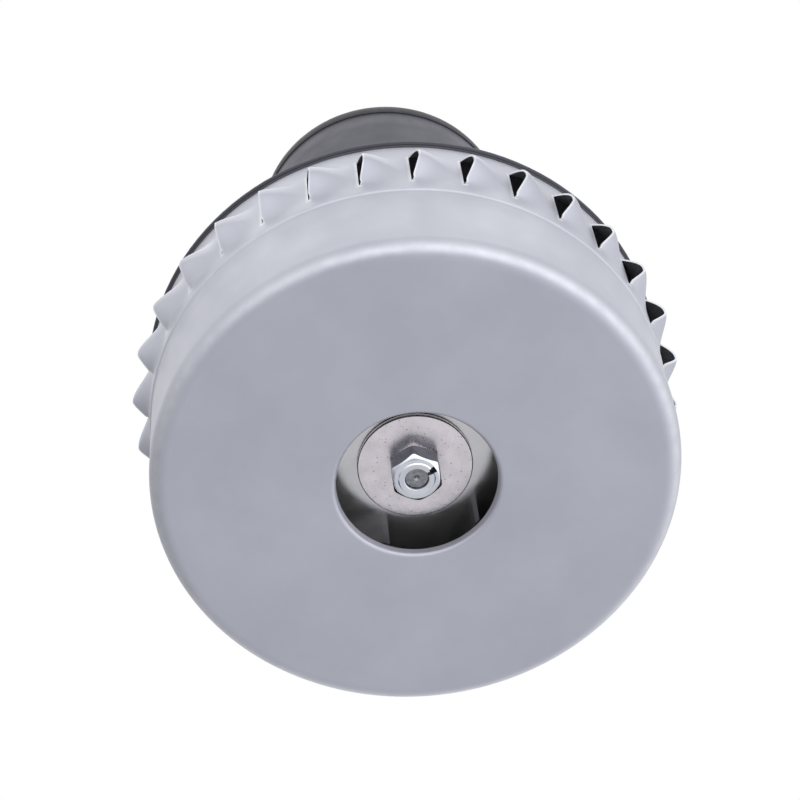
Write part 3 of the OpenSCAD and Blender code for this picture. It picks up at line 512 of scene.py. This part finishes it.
def piece(
    name: str, points: np.ndarray, quads: np.ndarray, body: str, sharp_deg: float = SMOOTH_DEG
) -> bpy.types.Object:
    """Makes a smooth piece that rides on a body.

    Args:
        name: the piece's name.
        points: its points in metres.
        quads: its quads.
        body: the body that it rides on.
        sharp_deg: edges that bend more than this stay sharp.

    Returns:
        The new object.
    """
    mesh = bpy.data.meshes.new(name)
    mesh.from_pydata(points.tolist(), [], quads.tolist())
    mesh.update()
    mesh.polygons.foreach_set("use_smooth", np.ones(len(mesh.polygons), bool))
    mesh.set_sharp_from_angle(angle=math.radians(sharp_deg))
    made = bpy.data.objects.new(name, mesh)
    bpy.context.scene.collection.objects.link(made)
    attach(made, body)
    LOG.info("piece %s: %d points, %d quads", name, len(points), len(quads))
    return made


def dress(target: bpy.types.Object, *finishes: Finish, shelf: EffectShelf) -> None:
    """Puts finishes into an object's material slots, one a slot."""
    target.data.materials.clear()
    for finish in finishes:
        target.data.materials.append(finish.material(shelf))


def soften(target: bpy.types.Object, width_mm: float) -> None:
    """Rounds the sharp edges of a solid with a narrow bevel."""
    weld = target.modifiers.new("weld", "WELD")
    weld.merge_threshold = WELD_GAP
    bevel = target.modifiers.new("soft_edges", "BEVEL")
    bevel.width = width_mm * MM
    bevel.segments = BEVEL_STEPS
    bevel.limit_method = "ANGLE"
    bevel.angle_limit = math.radians(BEVEL_DEG)
    bevel.harden_normals = True


@dataclass
class LouvredShroud:
    """The pressed can with its rolled inlet and its band of lanced louvres. Lengths are in millimetres."""

    wall_r: float = 71.5
    band_r: float = 72.0
    height: float = 59.5
    sheet: float = 0.55
    corner_r: float = 5.0
    inlet_r: float = 21.8
    lip_r: float = 1.5
    lip_depth: float = 2.7
    crease_z: float = 33.0
    crease_h: float = 0.9
    face_rings: tuple[float, ...] = (32.0, 48.0, 60.0)
    wall_rings: tuple[float, ...] = (14.0, 24.0)
    lip_steps: int = 7
    corner_steps: int = 10
    crease_rows: int = 6
    count: int = 32
    turn_deg: float = -93.4
    slit_low: float = 38.2
    slit_high: float = 53.0
    peak_z: float = 44.8
    rise: float = 5.0
    lean: float = 0.45
    ridge: float = 2.0
    bulge: float = 1.9
    shoulder: float = 1.4
    decay: float = 1.9
    blend: float = 1.6
    blend_start: float = 2.5
    gape: float = 0.45
    gape_z: float = 0.5
    gape_width: float = 0.5
    columns: int = 15
    crowd: float = 1.15
    band_rows: int = 54
    band_start: float = 1.5
    band_margin: float = 2.0
    # Where the painted highlight goes on the can: a line under each slit, a band round the corner and a line along
    # the crease, with their strengths.
    burr_drop: float = 0.8
    burr_half: float = 0.4
    corner_highlight: float = 0.5
    corner_deg: float = 47.0
    corner_spread: float = 17.0
    crease_highlight: float = 0.35
    crease_drop: float = 0.3
    crease_spread: float = 0.3
    cut_deg: float = 50.0

    @property
    def pitch(self) -> float:
        """Distance along the band from one louvre to the next."""
        return 2.0 * np.pi * self.band_r / self.count

    def can_profile(self) -> np.ndarray:
        """Profile from the inlet's neck over the face and the corner up to the crease.

        Returns:
            Radius and height of each point.
        """
        lip = arc((self.inlet_r + self.lip_r, self.lip_r), self.lip_r, 180.0, 270.0, self.lip_steps)
        flat = np.array([(radius, 0.0) for radius in self.face_rings])
        corner_middle = (self.wall_r - self.corner_r, self.corner_r)
        corner = arc(corner_middle, self.corner_r, -90.0, 0.0, self.corner_steps)
        climb = np.linspace(0.0, 1.0, self.crease_rows)
        crease_r = self.wall_r + (self.band_r - self.wall_r) * climb**2 * (3.0 - 2.0 * climb)
        crease = np.stack([crease_r, self.crease_z - self.crease_h * (1.0 - climb)], axis=-1)
        neck = np.array([(self.inlet_r, self.lip_depth)])
        wall = np.array([(self.wall_r, level) for level in self.wall_rings])
        return np.concatenate([neck, lip, flat, corner, wall, crease])

    def band_heights(self) -> np.ndarray:
        """Heights of the rows of the band, close together along the louvres."""
        low, high = self.slit_low - self.band_margin, self.slit_high + self.band_margin
        rows = np.linspace(low, high, self.band_rows)
        return np.concatenate([[self.crease_z + self.band_start], rows, [self.height]])

    def arch(self, level: np.ndarray) -> np.ndarray:
        """Height of a mouth's edge above the band.

        Below the peak it is a straight flank. Above the peak it is a longer flank that bulges. A square root
        rounds the ridge between them.

        Args:
            level: height of each row.

        Returns:
            Height of the edge at each row, below zero outside the slit.
        """
        across = level - self.peak_z
        bent = np.hypot(across, self.ridge) - self.ridge
        foot_low = np.hypot(self.peak_z - self.slit_low, self.ridge) - self.ridge
        foot_high = np.hypot(self.slit_high - self.peak_z, self.ridge) - self.ridge
        fall = np.where(across < 0.0, bent / foot_low, (bent / foot_high) ** self.bulge)
        return self.rise * (1.0 - fall)

    def roof(self, level: np.ndarray, share: np.ndarray) -> tuple[np.ndarray, np.ndarray]:
        """One louvre's sheet, from its leaning mouth down to the band at the next mouth.

        The roof is the mouth's arch times (1 - share^shoulder)^decay, so it sinks into the band without a fold.
        Half of (m + sqrt(m^2 + s^2)) softens the arch's feet, with s growing from the mouth on. The mouth's
        edge leans back with its height, and a bell curve opens the slit a little at its lower end.

        Args:
            level: height of each row.
            share: how far each column lies from the mouth's edge to the next mouth, from 0 to 1.

        Returns:
            Distance along the band and height above it, for each row and column.
        """
        arch = self.arch(level)[:, None]
        open_end = np.exp(-(((level[:, None] - self.slit_low - self.gape_z) / self.gape_width) ** 2))
        edge = self.lean * np.maximum(arch, 0.0) + self.gape * open_end
        along = edge + (self.pitch - edge) * share[None, :]
        soft = self.blend * (1.0 - np.exp(-self.pitch * share[None, :] / self.blend_start))
        height = 0.5 * (arch + np.hypot(arch, soft))
        return along, height * (1.0 - share[None, :] ** self.shoulder) ** self.decay

    def surface(self) -> tuple[np.ndarray, np.ndarray, np.ndarray]:
        """The whole outside as one grid of rows up the profile and columns round the axis.

        Every louvre has a column on the band's cut edge, one on the mouth's edge and then those of its roof.
        Where the slit is closed, the two edges are the same points.

        Returns:
            Points in metres, quads and the fold mask of painted highlight for each point.
        """
        can, heights = self.can_profile(), self.band_heights()
        rows = np.concatenate([can, np.stack([np.full_like(heights, self.band_r), heights], axis=-1)])
        level = rows[:, 1]
        in_band = (np.arange(len(rows)) >= len(can))[:, None]
        slit = in_band & ((level > self.slit_low) & (level < self.slit_high))[:, None]
        share = np.linspace(0.0, 1.0, self.columns, endpoint=False) ** self.crowd
        along, lift = self.roof(level, share)
        along = np.where(in_band, along, self.pitch * share[None, :])
        lift = np.where(in_band, lift, 0.0)
        cut = np.zeros((len(rows), 1))
        along = np.concatenate([cut, along], axis=1)
        lift = np.concatenate([cut, lift], axis=1)
        column = np.tile(np.arange(along.shape[1]), self.count)
        first = math.radians(self.turn_deg) + np.arange(self.count) * 2.0 * np.pi / self.count
        angle = (first[None, :, None] + (along / self.band_r)[:, None, :]).reshape(len(rows), -1)
        radius = np.tile(rows[:, :1] + lift, (1, self.count))
        height = np.repeat(rows[:, 1:], angle.shape[1], axis=1)
        points = np.stack([radius * np.cos(angle), radius * np.sin(angle), height], axis=-1)
        index = np.arange(angle.size).reshape(angle.shape)
        joined = np.where((column == Column.MOUTH) & ~slit, np.roll(index, 1, axis=1), index)
        quads = quad_faces(joined, column == Column.CUT)
        fold = self.highlight_mask(rows, in_band, slit, column)
        used, packed = np.unique(quads, return_inverse=True)
        return points.reshape(-1, 3)[used] * MM, packed.reshape(-1, 4), fold.reshape(-1)[used]

    def highlight_mask(
        self, rows: np.ndarray, in_band: np.ndarray, slit: np.ndarray, column: np.ndarray
    ) -> np.ndarray:
        """How much painted highlight each point gets, from 0 to 1.

        Cut edges and the burr under each slit get the full painted highlight. The corner is a bell curve over the
        angle round it, and the crease is one over the height.

        Args:
            rows: radius and height of each row.
            in_band: True for each row of the band.
            slit: True for each row where the slits are open.
            column: number of each column within its louvre.

        Returns:
            The mask of each row and column.
        """
        level = rows[:, 1]
        under = np.abs(level - self.slit_low + self.burr_drop) < self.burr_half
        burr = in_band & under[:, None] & ((column == Column.CUT) | (column == Column.ROOF))
        cut_edge_highlight = slit & ((column == Column.CUT) | (column == Column.MOUTH))
        rounding = np.degrees(np.arcsin(np.clip(1.0 - level / self.corner_r, 0.0, 1.0)))
        corner = np.exp(-(((rounding - self.corner_deg) / self.corner_spread) ** 2))
        corner = corner * (rows[:, 0] > self.wall_r - self.corner_r)
        crease = np.exp(-(((level - self.crease_z + self.crease_drop) / self.crease_spread) ** 2))
        highlighted = self.corner_highlight * corner + self.crease_highlight * crease
        return np.where(cut_edge_highlight | burr, 1.0, highlighted[:, None])

    def build(self, shelf: EffectShelf) -> bpy.types.Object:
        """Makes the shroud with its sheet thickness and dresses it.

        Args:
            shelf: the shared effects.

        Returns:
            The shroud.
        """
        points, quads, fold = self.surface()
        shell = piece("shroud_shell", points, quads, FRAME_BODY, self.cut_deg)
        # The fold attribute carries the painted highlight mask into the zinc's colour.
        shell.data.attributes.new("fold", "FLOAT", "POINT").data.foreach_set("value", fold.astype(np.float32))
        # Zinc outside, painted shade inside, painted highlight on the cut rims.
        dress(shell, ZINC, INNER_SHADE, CUT_EDGE_HIGHLIGHT, shelf=shelf)
        wall = shell.modifiers.new("sheet", "SOLIDIFY")
        wall.thickness = self.sheet * MM
        wall.offset = -1.0
        wall.material_offset, wall.material_offset_rim = 1, 2
        split = shell.modifiers.new("cut_edges", "EDGE_SPLIT")
        split.split_angle = math.radians(self.cut_deg)
        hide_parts("fan_shroud")
        return shell


@dataclass
class ShaftClamp:
    """The washer and nut that clamp the first fan on the shaft. Lengths are in millimetres."""

    washer_r: float = 15.7
    washer_z: float = 10.0
    washer_t: float = 1.7
    washer_edge: float = 0.35
    bore_r: float = 4.05
    nut_z: float = 3.0
    flats: float = 13.0
    chamfer_r: float = 6.0
    chamfer_slope: float = 0.85
    lip_r: float = 3.2
    lip_edge: float = 0.35
    lip_back: float = 3.9
    collar_r: float = 4.75
    collar_h: float = 0.3
    notch_deg: float = -35.0
    notch_w: float = 1.5
    notch_depth: float = 1.6
    turn_deg: float = 19.0
    corner_power: float = 26.0
    washer_rings: tuple[float, ...] = (8.0, 12.0)
    washer_columns: int = 160
    nut_columns: int = 240
    edge_steps: int = 4
    face_inset: float = 0.12
    soft: float = 0.08
    soft_slope: float = 0.3
    sharp_deg: float = 28.0

    def washer_profile(self) -> np.ndarray:
        """Profile of the washer from its bore over the front, edge and back to the bore again."""
        edge, top = self.washer_edge, self.washer_z + self.washer_t
        front = arc((self.washer_r - edge, self.washer_z + edge), edge, -90.0, 0.0, self.edge_steps)
        back = arc((self.washer_r - edge, top - edge), edge, 0.0, 90.0, self.edge_steps)
        inner = np.array([(self.bore_r, self.washer_z)])
        rings = np.array([(radius, self.washer_z) for radius in self.washer_rings])
        behind = np.array([(self.bore_r, top)])
        return np.concatenate([inner, rings, front, back, behind, inner])

    def nut_surface(self) -> tuple[np.ndarray, np.ndarray, np.ndarray]:
        """The nut as rows from its bore over the front lip, the chamfer and the flats to its back.

        The outline is half the flats over the power mean of the six flats' cosines, which rounds the corners.
        Both chamfers are cones: the height falls by the outline's excess over the chamfer's circle times its slope.
        Columns within half the notch's width of its angle are cut down to the notch's floor, out to the collar. The
        flats' quads and the notch's quads get slots for painted shade.

        Returns:
            Points in metres, quads and the material slot of each quad: front, painted shade on the flats,
            near-black painted shade in the notch.
        """
        angle = np.linspace(0.0, 2.0 * np.pi, self.nut_columns, endpoint=False)
        normals = math.radians(self.turn_deg + 30.0) + np.arange(6) * np.pi / 3.0
        facing = np.clip(np.cos(angle[None, :] - normals[:, None]), 0.0, 1.0)
        outline = self.flats / 2.0 / (facing**self.corner_power).sum(axis=0) ** (1.0 / self.corner_power)
        droop = np.maximum(outline - self.chamfer_r, 0.0) * self.chamfer_slope
        ones = np.ones_like(angle)
        face, back = self.nut_z + self.collar_h, self.washer_z
        lip_middle = (self.lip_r + self.lip_edge, self.nut_z + self.lip_edge)
        lip = arc(lip_middle, self.lip_edge, 180.0, 270.0, self.edge_steps)
        inner = np.array([[self.bore_r, back], [self.bore_r, self.lip_back], [self.lip_r, self.lip_back]])
        collar = np.array([[self.collar_r, self.nut_z], [self.collar_r + self.collar_h, face]])
        start = np.concatenate([inner, lip, collar, [[self.chamfer_r - self.face_inset, face]]])
        soft, slope = self.soft, self.soft * self.soft_slope
        radius = np.concatenate([
            start[:, :1] * ones,
            np.stack([(self.chamfer_r + soft) * ones, outline - soft, outline, outline, outline - soft,
                      self.chamfer_r * ones, self.bore_r * ones]),
        ])
        height = np.concatenate([
            start[:, 1:] * ones,
            np.stack([(face + soft * self.chamfer_slope) * ones, face + droop - slope, face + droop + soft,
                      back - droop - soft, back - droop + slope, back * ones, back * ones]),
        ])
        flats_row = len(start) + 2
        away = np.abs((angle - math.radians(self.notch_deg) + np.pi) % (2.0 * np.pi) - np.pi)
        cut = (away < 0.5 * self.notch_w / self.collar_r) & (np.arange(len(radius)) >= len(inner))[:, None]
        floor = np.where(radius <= self.collar_r + self.collar_h, self.nut_z + self.notch_depth, height)
        sunk = cut & (floor > height)
        height = np.where(sunk, floor, height)
        points = np.stack([radius * np.cos(angle), radius * np.sin(angle), height], axis=-1)
        quads = quad_faces(np.arange(radius.size).reshape(radius.shape))
        row = np.repeat(np.arange(len(radius) - 1), self.nut_columns)
        # Slots: painted shade on the flats, near-black painted shade on the notch's faces.
        slots = np.where(row == flats_row, NutSlot.FLATS, NutSlot.FACE)
        slots = np.where(sunk.reshape(-1)[quads].any(axis=1), NutSlot.NOTCH_SHADE, slots)
        return points.reshape(-1, 3) * MM, quads, slots

    def build(self, shelf: EffectShelf) -> None:
        """Makes and dresses the washer and the nut."""
        disc = revolve(self.washer_profile(), self.washer_columns)
        washer = piece("clamp_washer_disc", *disc, ROTOR_BODY)
        dress(washer, WASHER, shelf=shelf)
        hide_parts("clamp_washer")
        points, quads, slots = self.nut_surface()
        nut = piece("shaft_nut_hex", points, quads, ROTOR_BODY, self.sharp_deg)
        # Bright metal on the front, painted shade on the flats, near-black painted shade in the notch.
        dress(nut, BRIGHT, NUT_FLATS_SHADE, DARK, shelf=shelf)
        nut.data.polygons.foreach_set("material_index", slots.astype(np.int32))
        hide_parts("shaft_nut")


@dataclass
class SolidGroup:
    """Solids that keep their shape and share a finish. The edge width is in millimetres."""

    nodes: tuple[str, ...]
    finish: Finish
    edge: float = 0.0

    def build(self, shelf: EffectShelf) -> None:
        """Dresses the solids and rounds their edges."""
        for name in self.nodes:
            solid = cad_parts[name]
            dress(solid, self.finish, shelf=shelf)
            if self.edge:
                soften(solid, self.edge)
            LOG.info("solid %s: %s", name, self.finish.name)


SOLIDS = (
    SolidGroup(("motor_housing",), HOUSING, 0.3),
    SolidGroup(("top_cover",), COVER, 0.3),
    SolidGroup(("shroud_gasket",), RUBBER, 0.2),
    SolidGroup(("rear_bearing_damper",), RUBBER),
    SolidGroup(("fan_end_bracket",), CAST),
    SolidGroup(("guide_plate", "return_vanes", "stage_plate"), SHEET),
    SolidGroup(("impeller_1_front_plate", "impeller_2_front_plate"), FAN_FRONT),
    # The blades get near-black painted shade.
    SolidGroup(("impeller_1_blades", "impeller_2_blades"), SHADED_BLADE),
    SolidGroup(("impeller_1_back_plate", "impeller_2_back_plate"), ALUMINIUM),
    SolidGroup(("shaft",), TURNED, 0.1),
    SolidGroup(("impeller_spacer", "bearing_spacer"), TURNED),
    SolidGroup(("fan_bearing_outer_ring", "fan_bearing_balls", "fan_bearing_inner_ring",
                "rear_bearing_outer_ring", "rear_bearing_balls", "rear_bearing_inner_ring"), BEARING),
    SolidGroup(("armature_core", "stator_core"), CORE),
    SolidGroup(("armature_winding", "field_coil_front", "field_coil_back"), COPPER_WIRE),
    SolidGroup(("commutator",), COPPER_BAR),
    SolidGroup(("cooling_fan", "rear_bracket", "terminal_block"), DARK, 0.2),
    SolidGroup(("brush_tube_left", "brush_tube_right", "brush_cap_left", "brush_cap_right"), BRASS),
    SolidGroup(("carbon_brush_left", "carbon_brush_right"), CARBON),
    SolidGroup(("brush_spring_left", "brush_spring_right"), SPRING),
    SolidGroup(("terminal_tabs",), TINNED, 0.1),
    SolidGroup(("stator_screws",), SCREW),
    SolidGroup(("housing_screws", "cover_screws"), SCREW, 0.15),
)


@dataclass
class Studio:
    """Camera, light and floor.

    The camera's values are those fitted to the photograph, in pixels and millimetres. The lengths of floor and
    lamp are in metres. The ranges of the world are shares of the view's direction, from -1 to 1.
    """

    focal_px: float = 2548.6
    image_px: float = 800.0
    sensor_mm: float = 36.0
    clip: Range = (0.01, 50.0)
    face_centre: Way = (4.74, 22.86, 679.75)
    tilt_deg: float = 29.55
    swing_deg: float = 82.86
    spin_deg: float = 3.95
    floor_half: float = 3.0
    floor_drop: float = 0.0005
    floor_fade: Range = (0.3, 2.4)
    floor_colour: Colour = (0.86, 0.86, 0.87)
    floor_roughness: float = 0.7
    below: Colour = (0.69, 0.7, 0.745)
    above: Colour = (0.87, 0.87, 0.885)
    tint_z: Range = (-0.7, 0.3)
    horizon: Range = (-0.2, 1.3)
    horizon_z: float = -0.55
    horizon_width: float = 0.36
    horizon_side: Way = (0.5, -0.86, 0.0)
    horizon_edge: Range = (-0.3, 0.8)
    screen_top: Range = (-0.74, -0.86)
    screen_edge: Range = (0.02, -0.18)
    screen_shade: float = 0.55
    flag_way: Way = (-0.79, 0.61, 0.0)
    flag_edge: Range = (0.7, 0.95)
    flag_shade: float = 0.6
    lamp_place: Way = (0.0, 0.0, 1.6)
    lamp_aim: Way = (0.0, 0.0, 0.05)
    lamp_size: float = 1.4
    lamp_power: float = 5.0
    lamp_colour: Colour = (1.0, 0.995, 0.99)

    def camera_matrix(self) -> Matrix:
        """Place of the camera in the part's frame.

        With the camera's axes right, down and forward, the inlet face looks along (sin t cos s, sin t sin s,
        -cos t), and the part's X is the image's right turned into the face, then spun round the axis.

        Returns:
            The camera's world matrix.
        """
        tilt, swing, spin = (math.radians(angle) for angle in (self.tilt_deg, self.swing_deg, self.spin_deg))
        facing = np.array([math.sin(tilt) * math.cos(swing), math.sin(tilt) * math.sin(swing), -math.cos(tilt)])
        x_axis = np.array([1.0, 0.0, 0.0]) - facing[0] * facing
        x_axis /= np.linalg.norm(x_axis)
        x_axis = math.cos(spin) * x_axis + math.sin(spin) * np.cross(-facing, x_axis)
        turn = np.stack([x_axis, np.cross(-facing, x_axis), -facing], axis=1)
        eye = -turn.T @ np.array(self.face_centre) * MM
        right, down, forward = turn
        top = np.stack([right, -down, -forward, eye], axis=1)
        return Matrix(np.concatenate([top, [[0.0, 0.0, 0.0, 1.0]]]).tolist())

    def camera(self) -> None:
        """Makes the camera and gives it to the scene."""
        data = bpy.data.cameras.new("photo_camera")
        data.sensor_width = self.sensor_mm
        data.lens = self.focal_px * self.sensor_mm / self.image_px
        data.clip_start, data.clip_end = self.clip
        made = bpy.data.objects.new("photo_camera", data)
        made.matrix_world = self.camera_matrix()
        bpy.context.scene.collection.objects.link(made)
        bpy.context.scene.camera = made

    def overhead(self) -> None:
        """Adds the soft square lamp above the part."""
        data = bpy.data.lights.new("overhead", "AREA")
        data.energy, data.size, data.color = self.lamp_power, self.lamp_size, self.lamp_colour
        made = bpy.data.objects.new("overhead", data)
        made.location = self.lamp_place
        made.rotation_mode = "QUATERNION"
        toward = Vector(self.lamp_aim) - Vector(self.lamp_place)
        made.rotation_quaternion = toward.to_track_quat("-Z", "Y")
        bpy.context.scene.collection.objects.link(made)

    def world(self) -> None:
        """White to the camera, and a grey that is paler above for light and reflections.

        A soft bright horizon is a bell curve over the height of the view, exp(-((z - middle) / width)^2), and
        fades from one side of the studio to the other. A dark screen fills the low front of the studio, with soft
        edges in height and depth, and a dark flag stands at one side, with a soft round edge.
        """
        world = bpy.data.worlds.new("studio_white")
        world.use_nodes = True
        world.node_tree.nodes.clear()
        graph = Graph(world.node_tree)
        way = graph.add("ShaderNodeTexCoord").outputs["Generated"]
        parts = graph.add("ShaderNodeSeparateXYZ", {0: way})
        depth, height = parts.outputs["Y"], parts.outputs["Z"]
        pale = graph.spread(height, self.tint_z, (0.0, 1.0))
        tint = graph.blend(pale, (*self.below, 1.0), (*self.above, 1.0))
        offset = graph.math("DIVIDE", graph.math("SUBTRACT", height, self.horizon_z), self.horizon_width)
        bell = graph.math("EXPONENT", graph.math("MULTIPLY", graph.math("MULTIPLY", offset, offset), -1.0))
        side = graph.add("ShaderNodeVectorMath", {0: way, 1: self.horizon_side}, operation="DOT_PRODUCT")
        share = graph.spread(side.outputs["Value"], self.horizon_edge, self.horizon)
        bright = graph.math("ADD", 1.0, graph.math("MULTIPLY", bell, share))
        low = graph.spread(height, self.screen_top, (0.0, self.screen_shade))
        screen = graph.math("MULTIPLY", low, graph.spread(depth, self.screen_edge, (0.0, 1.0)))
        toward = graph.add("ShaderNodeVectorMath", {0: way, 1: self.flag_way}, operation="DOT_PRODUCT")
        flag = graph.spread(toward.outputs["Value"], self.flag_edge, (1.0, 1.0 - self.flag_shade))
        lit = graph.math("MULTIPLY", bright, flag)
        level = graph.math("MULTIPLY", lit, graph.math("SUBTRACT", 1.0, screen))
        soft = graph.add("ShaderNodeBackground", {"Color": tint, "Strength": level})
        white = graph.add("ShaderNodeBackground", {"Color": (1.0, 1.0, 1.0, 1.0), "Strength": 1.0})
        seen = graph.add("ShaderNodeLightPath").outputs["Is Camera Ray"]
        both = graph.add("ShaderNodeMixShader", {0: seen, 1: soft.outputs[0], 2: white.outputs[0]})
        output = graph.add("ShaderNodeOutputWorld")
        graph.feed(output.inputs["Surface"], both.outputs[0])
        bpy.context.scene.world = world

    def floor(self) -> None:
        """Pale floor under the inlet face, which is clear from below and fades out far from the part."""
        half, level = self.floor_half, -self.floor_drop
        corners = ((-half, -half), (half, -half), (half, half), (-half, half))
        mesh = bpy.data.meshes.new("studio_floor")
        mesh.from_pydata([(x, y, level) for x, y in corners], [], [(0, 1, 2, 3)])
        made = bpy.data.objects.new("studio_floor", mesh)
        bpy.context.scene.collection.objects.link(made)
        material = bpy.data.materials.new("pale_floor")
        material.use_nodes = True
        material.node_tree.nodes.clear()
        graph = Graph(material.node_tree)
        look = {"Base Color": (*self.floor_colour, 1.0), "Roughness": self.floor_roughness}
        shader = graph.add("ShaderNodeBsdfPrincipled", look)
        clear = graph.add("ShaderNodeBsdfTransparent")
        below = graph.add("ShaderNodeNewGeometry").outputs["Backfacing"]
        place = graph.add("ShaderNodeTexCoord").outputs["Object"]
        away = graph.add("ShaderNodeVectorMath", {0: place}, operation="LENGTH").outputs["Value"]
        unseen = graph.math("MAXIMUM", below, graph.spread(away, self.floor_fade, (0.0, 1.0)))
        mixed = graph.add("ShaderNodeMixShader", {0: unseen, 1: shader.outputs[0], 2: clear.outputs[0]})
        output = graph.add("ShaderNodeOutputMaterial")
        graph.feed(output.inputs["Surface"], mixed.outputs[0])
        mesh.materials.append(material)
        for ray in ("visible_diffuse", "visible_glossy", "visible_transmission", "visible_shadow"):
            setattr(made, ray, False)

    def build(self) -> None:
        """Sets up camera, world, floor and lamp."""
        bpy.context.scene.view_settings.view_transform = "Standard"
        self.camera()
        self.world()
        self.floor()
        self.overhead()


def write_sizes() -> None:
    """Logs one line; it works out and writes no boxes."""
    LOG.info("sizes written")


def main() -> None:
    """Builds the pieces in order and reports each one."""
    logging.basicConfig(level=logging.INFO, format="%(name)s: %(message)s")
    shelf = EffectShelf()
    LouvredShroud().build(shelf)
    ShaftClamp().build(shelf)
    for group in SOLIDS:
        group.build(shelf)
    Studio().build()
    write_sizes()


if __name__ == "__main__":
    main()
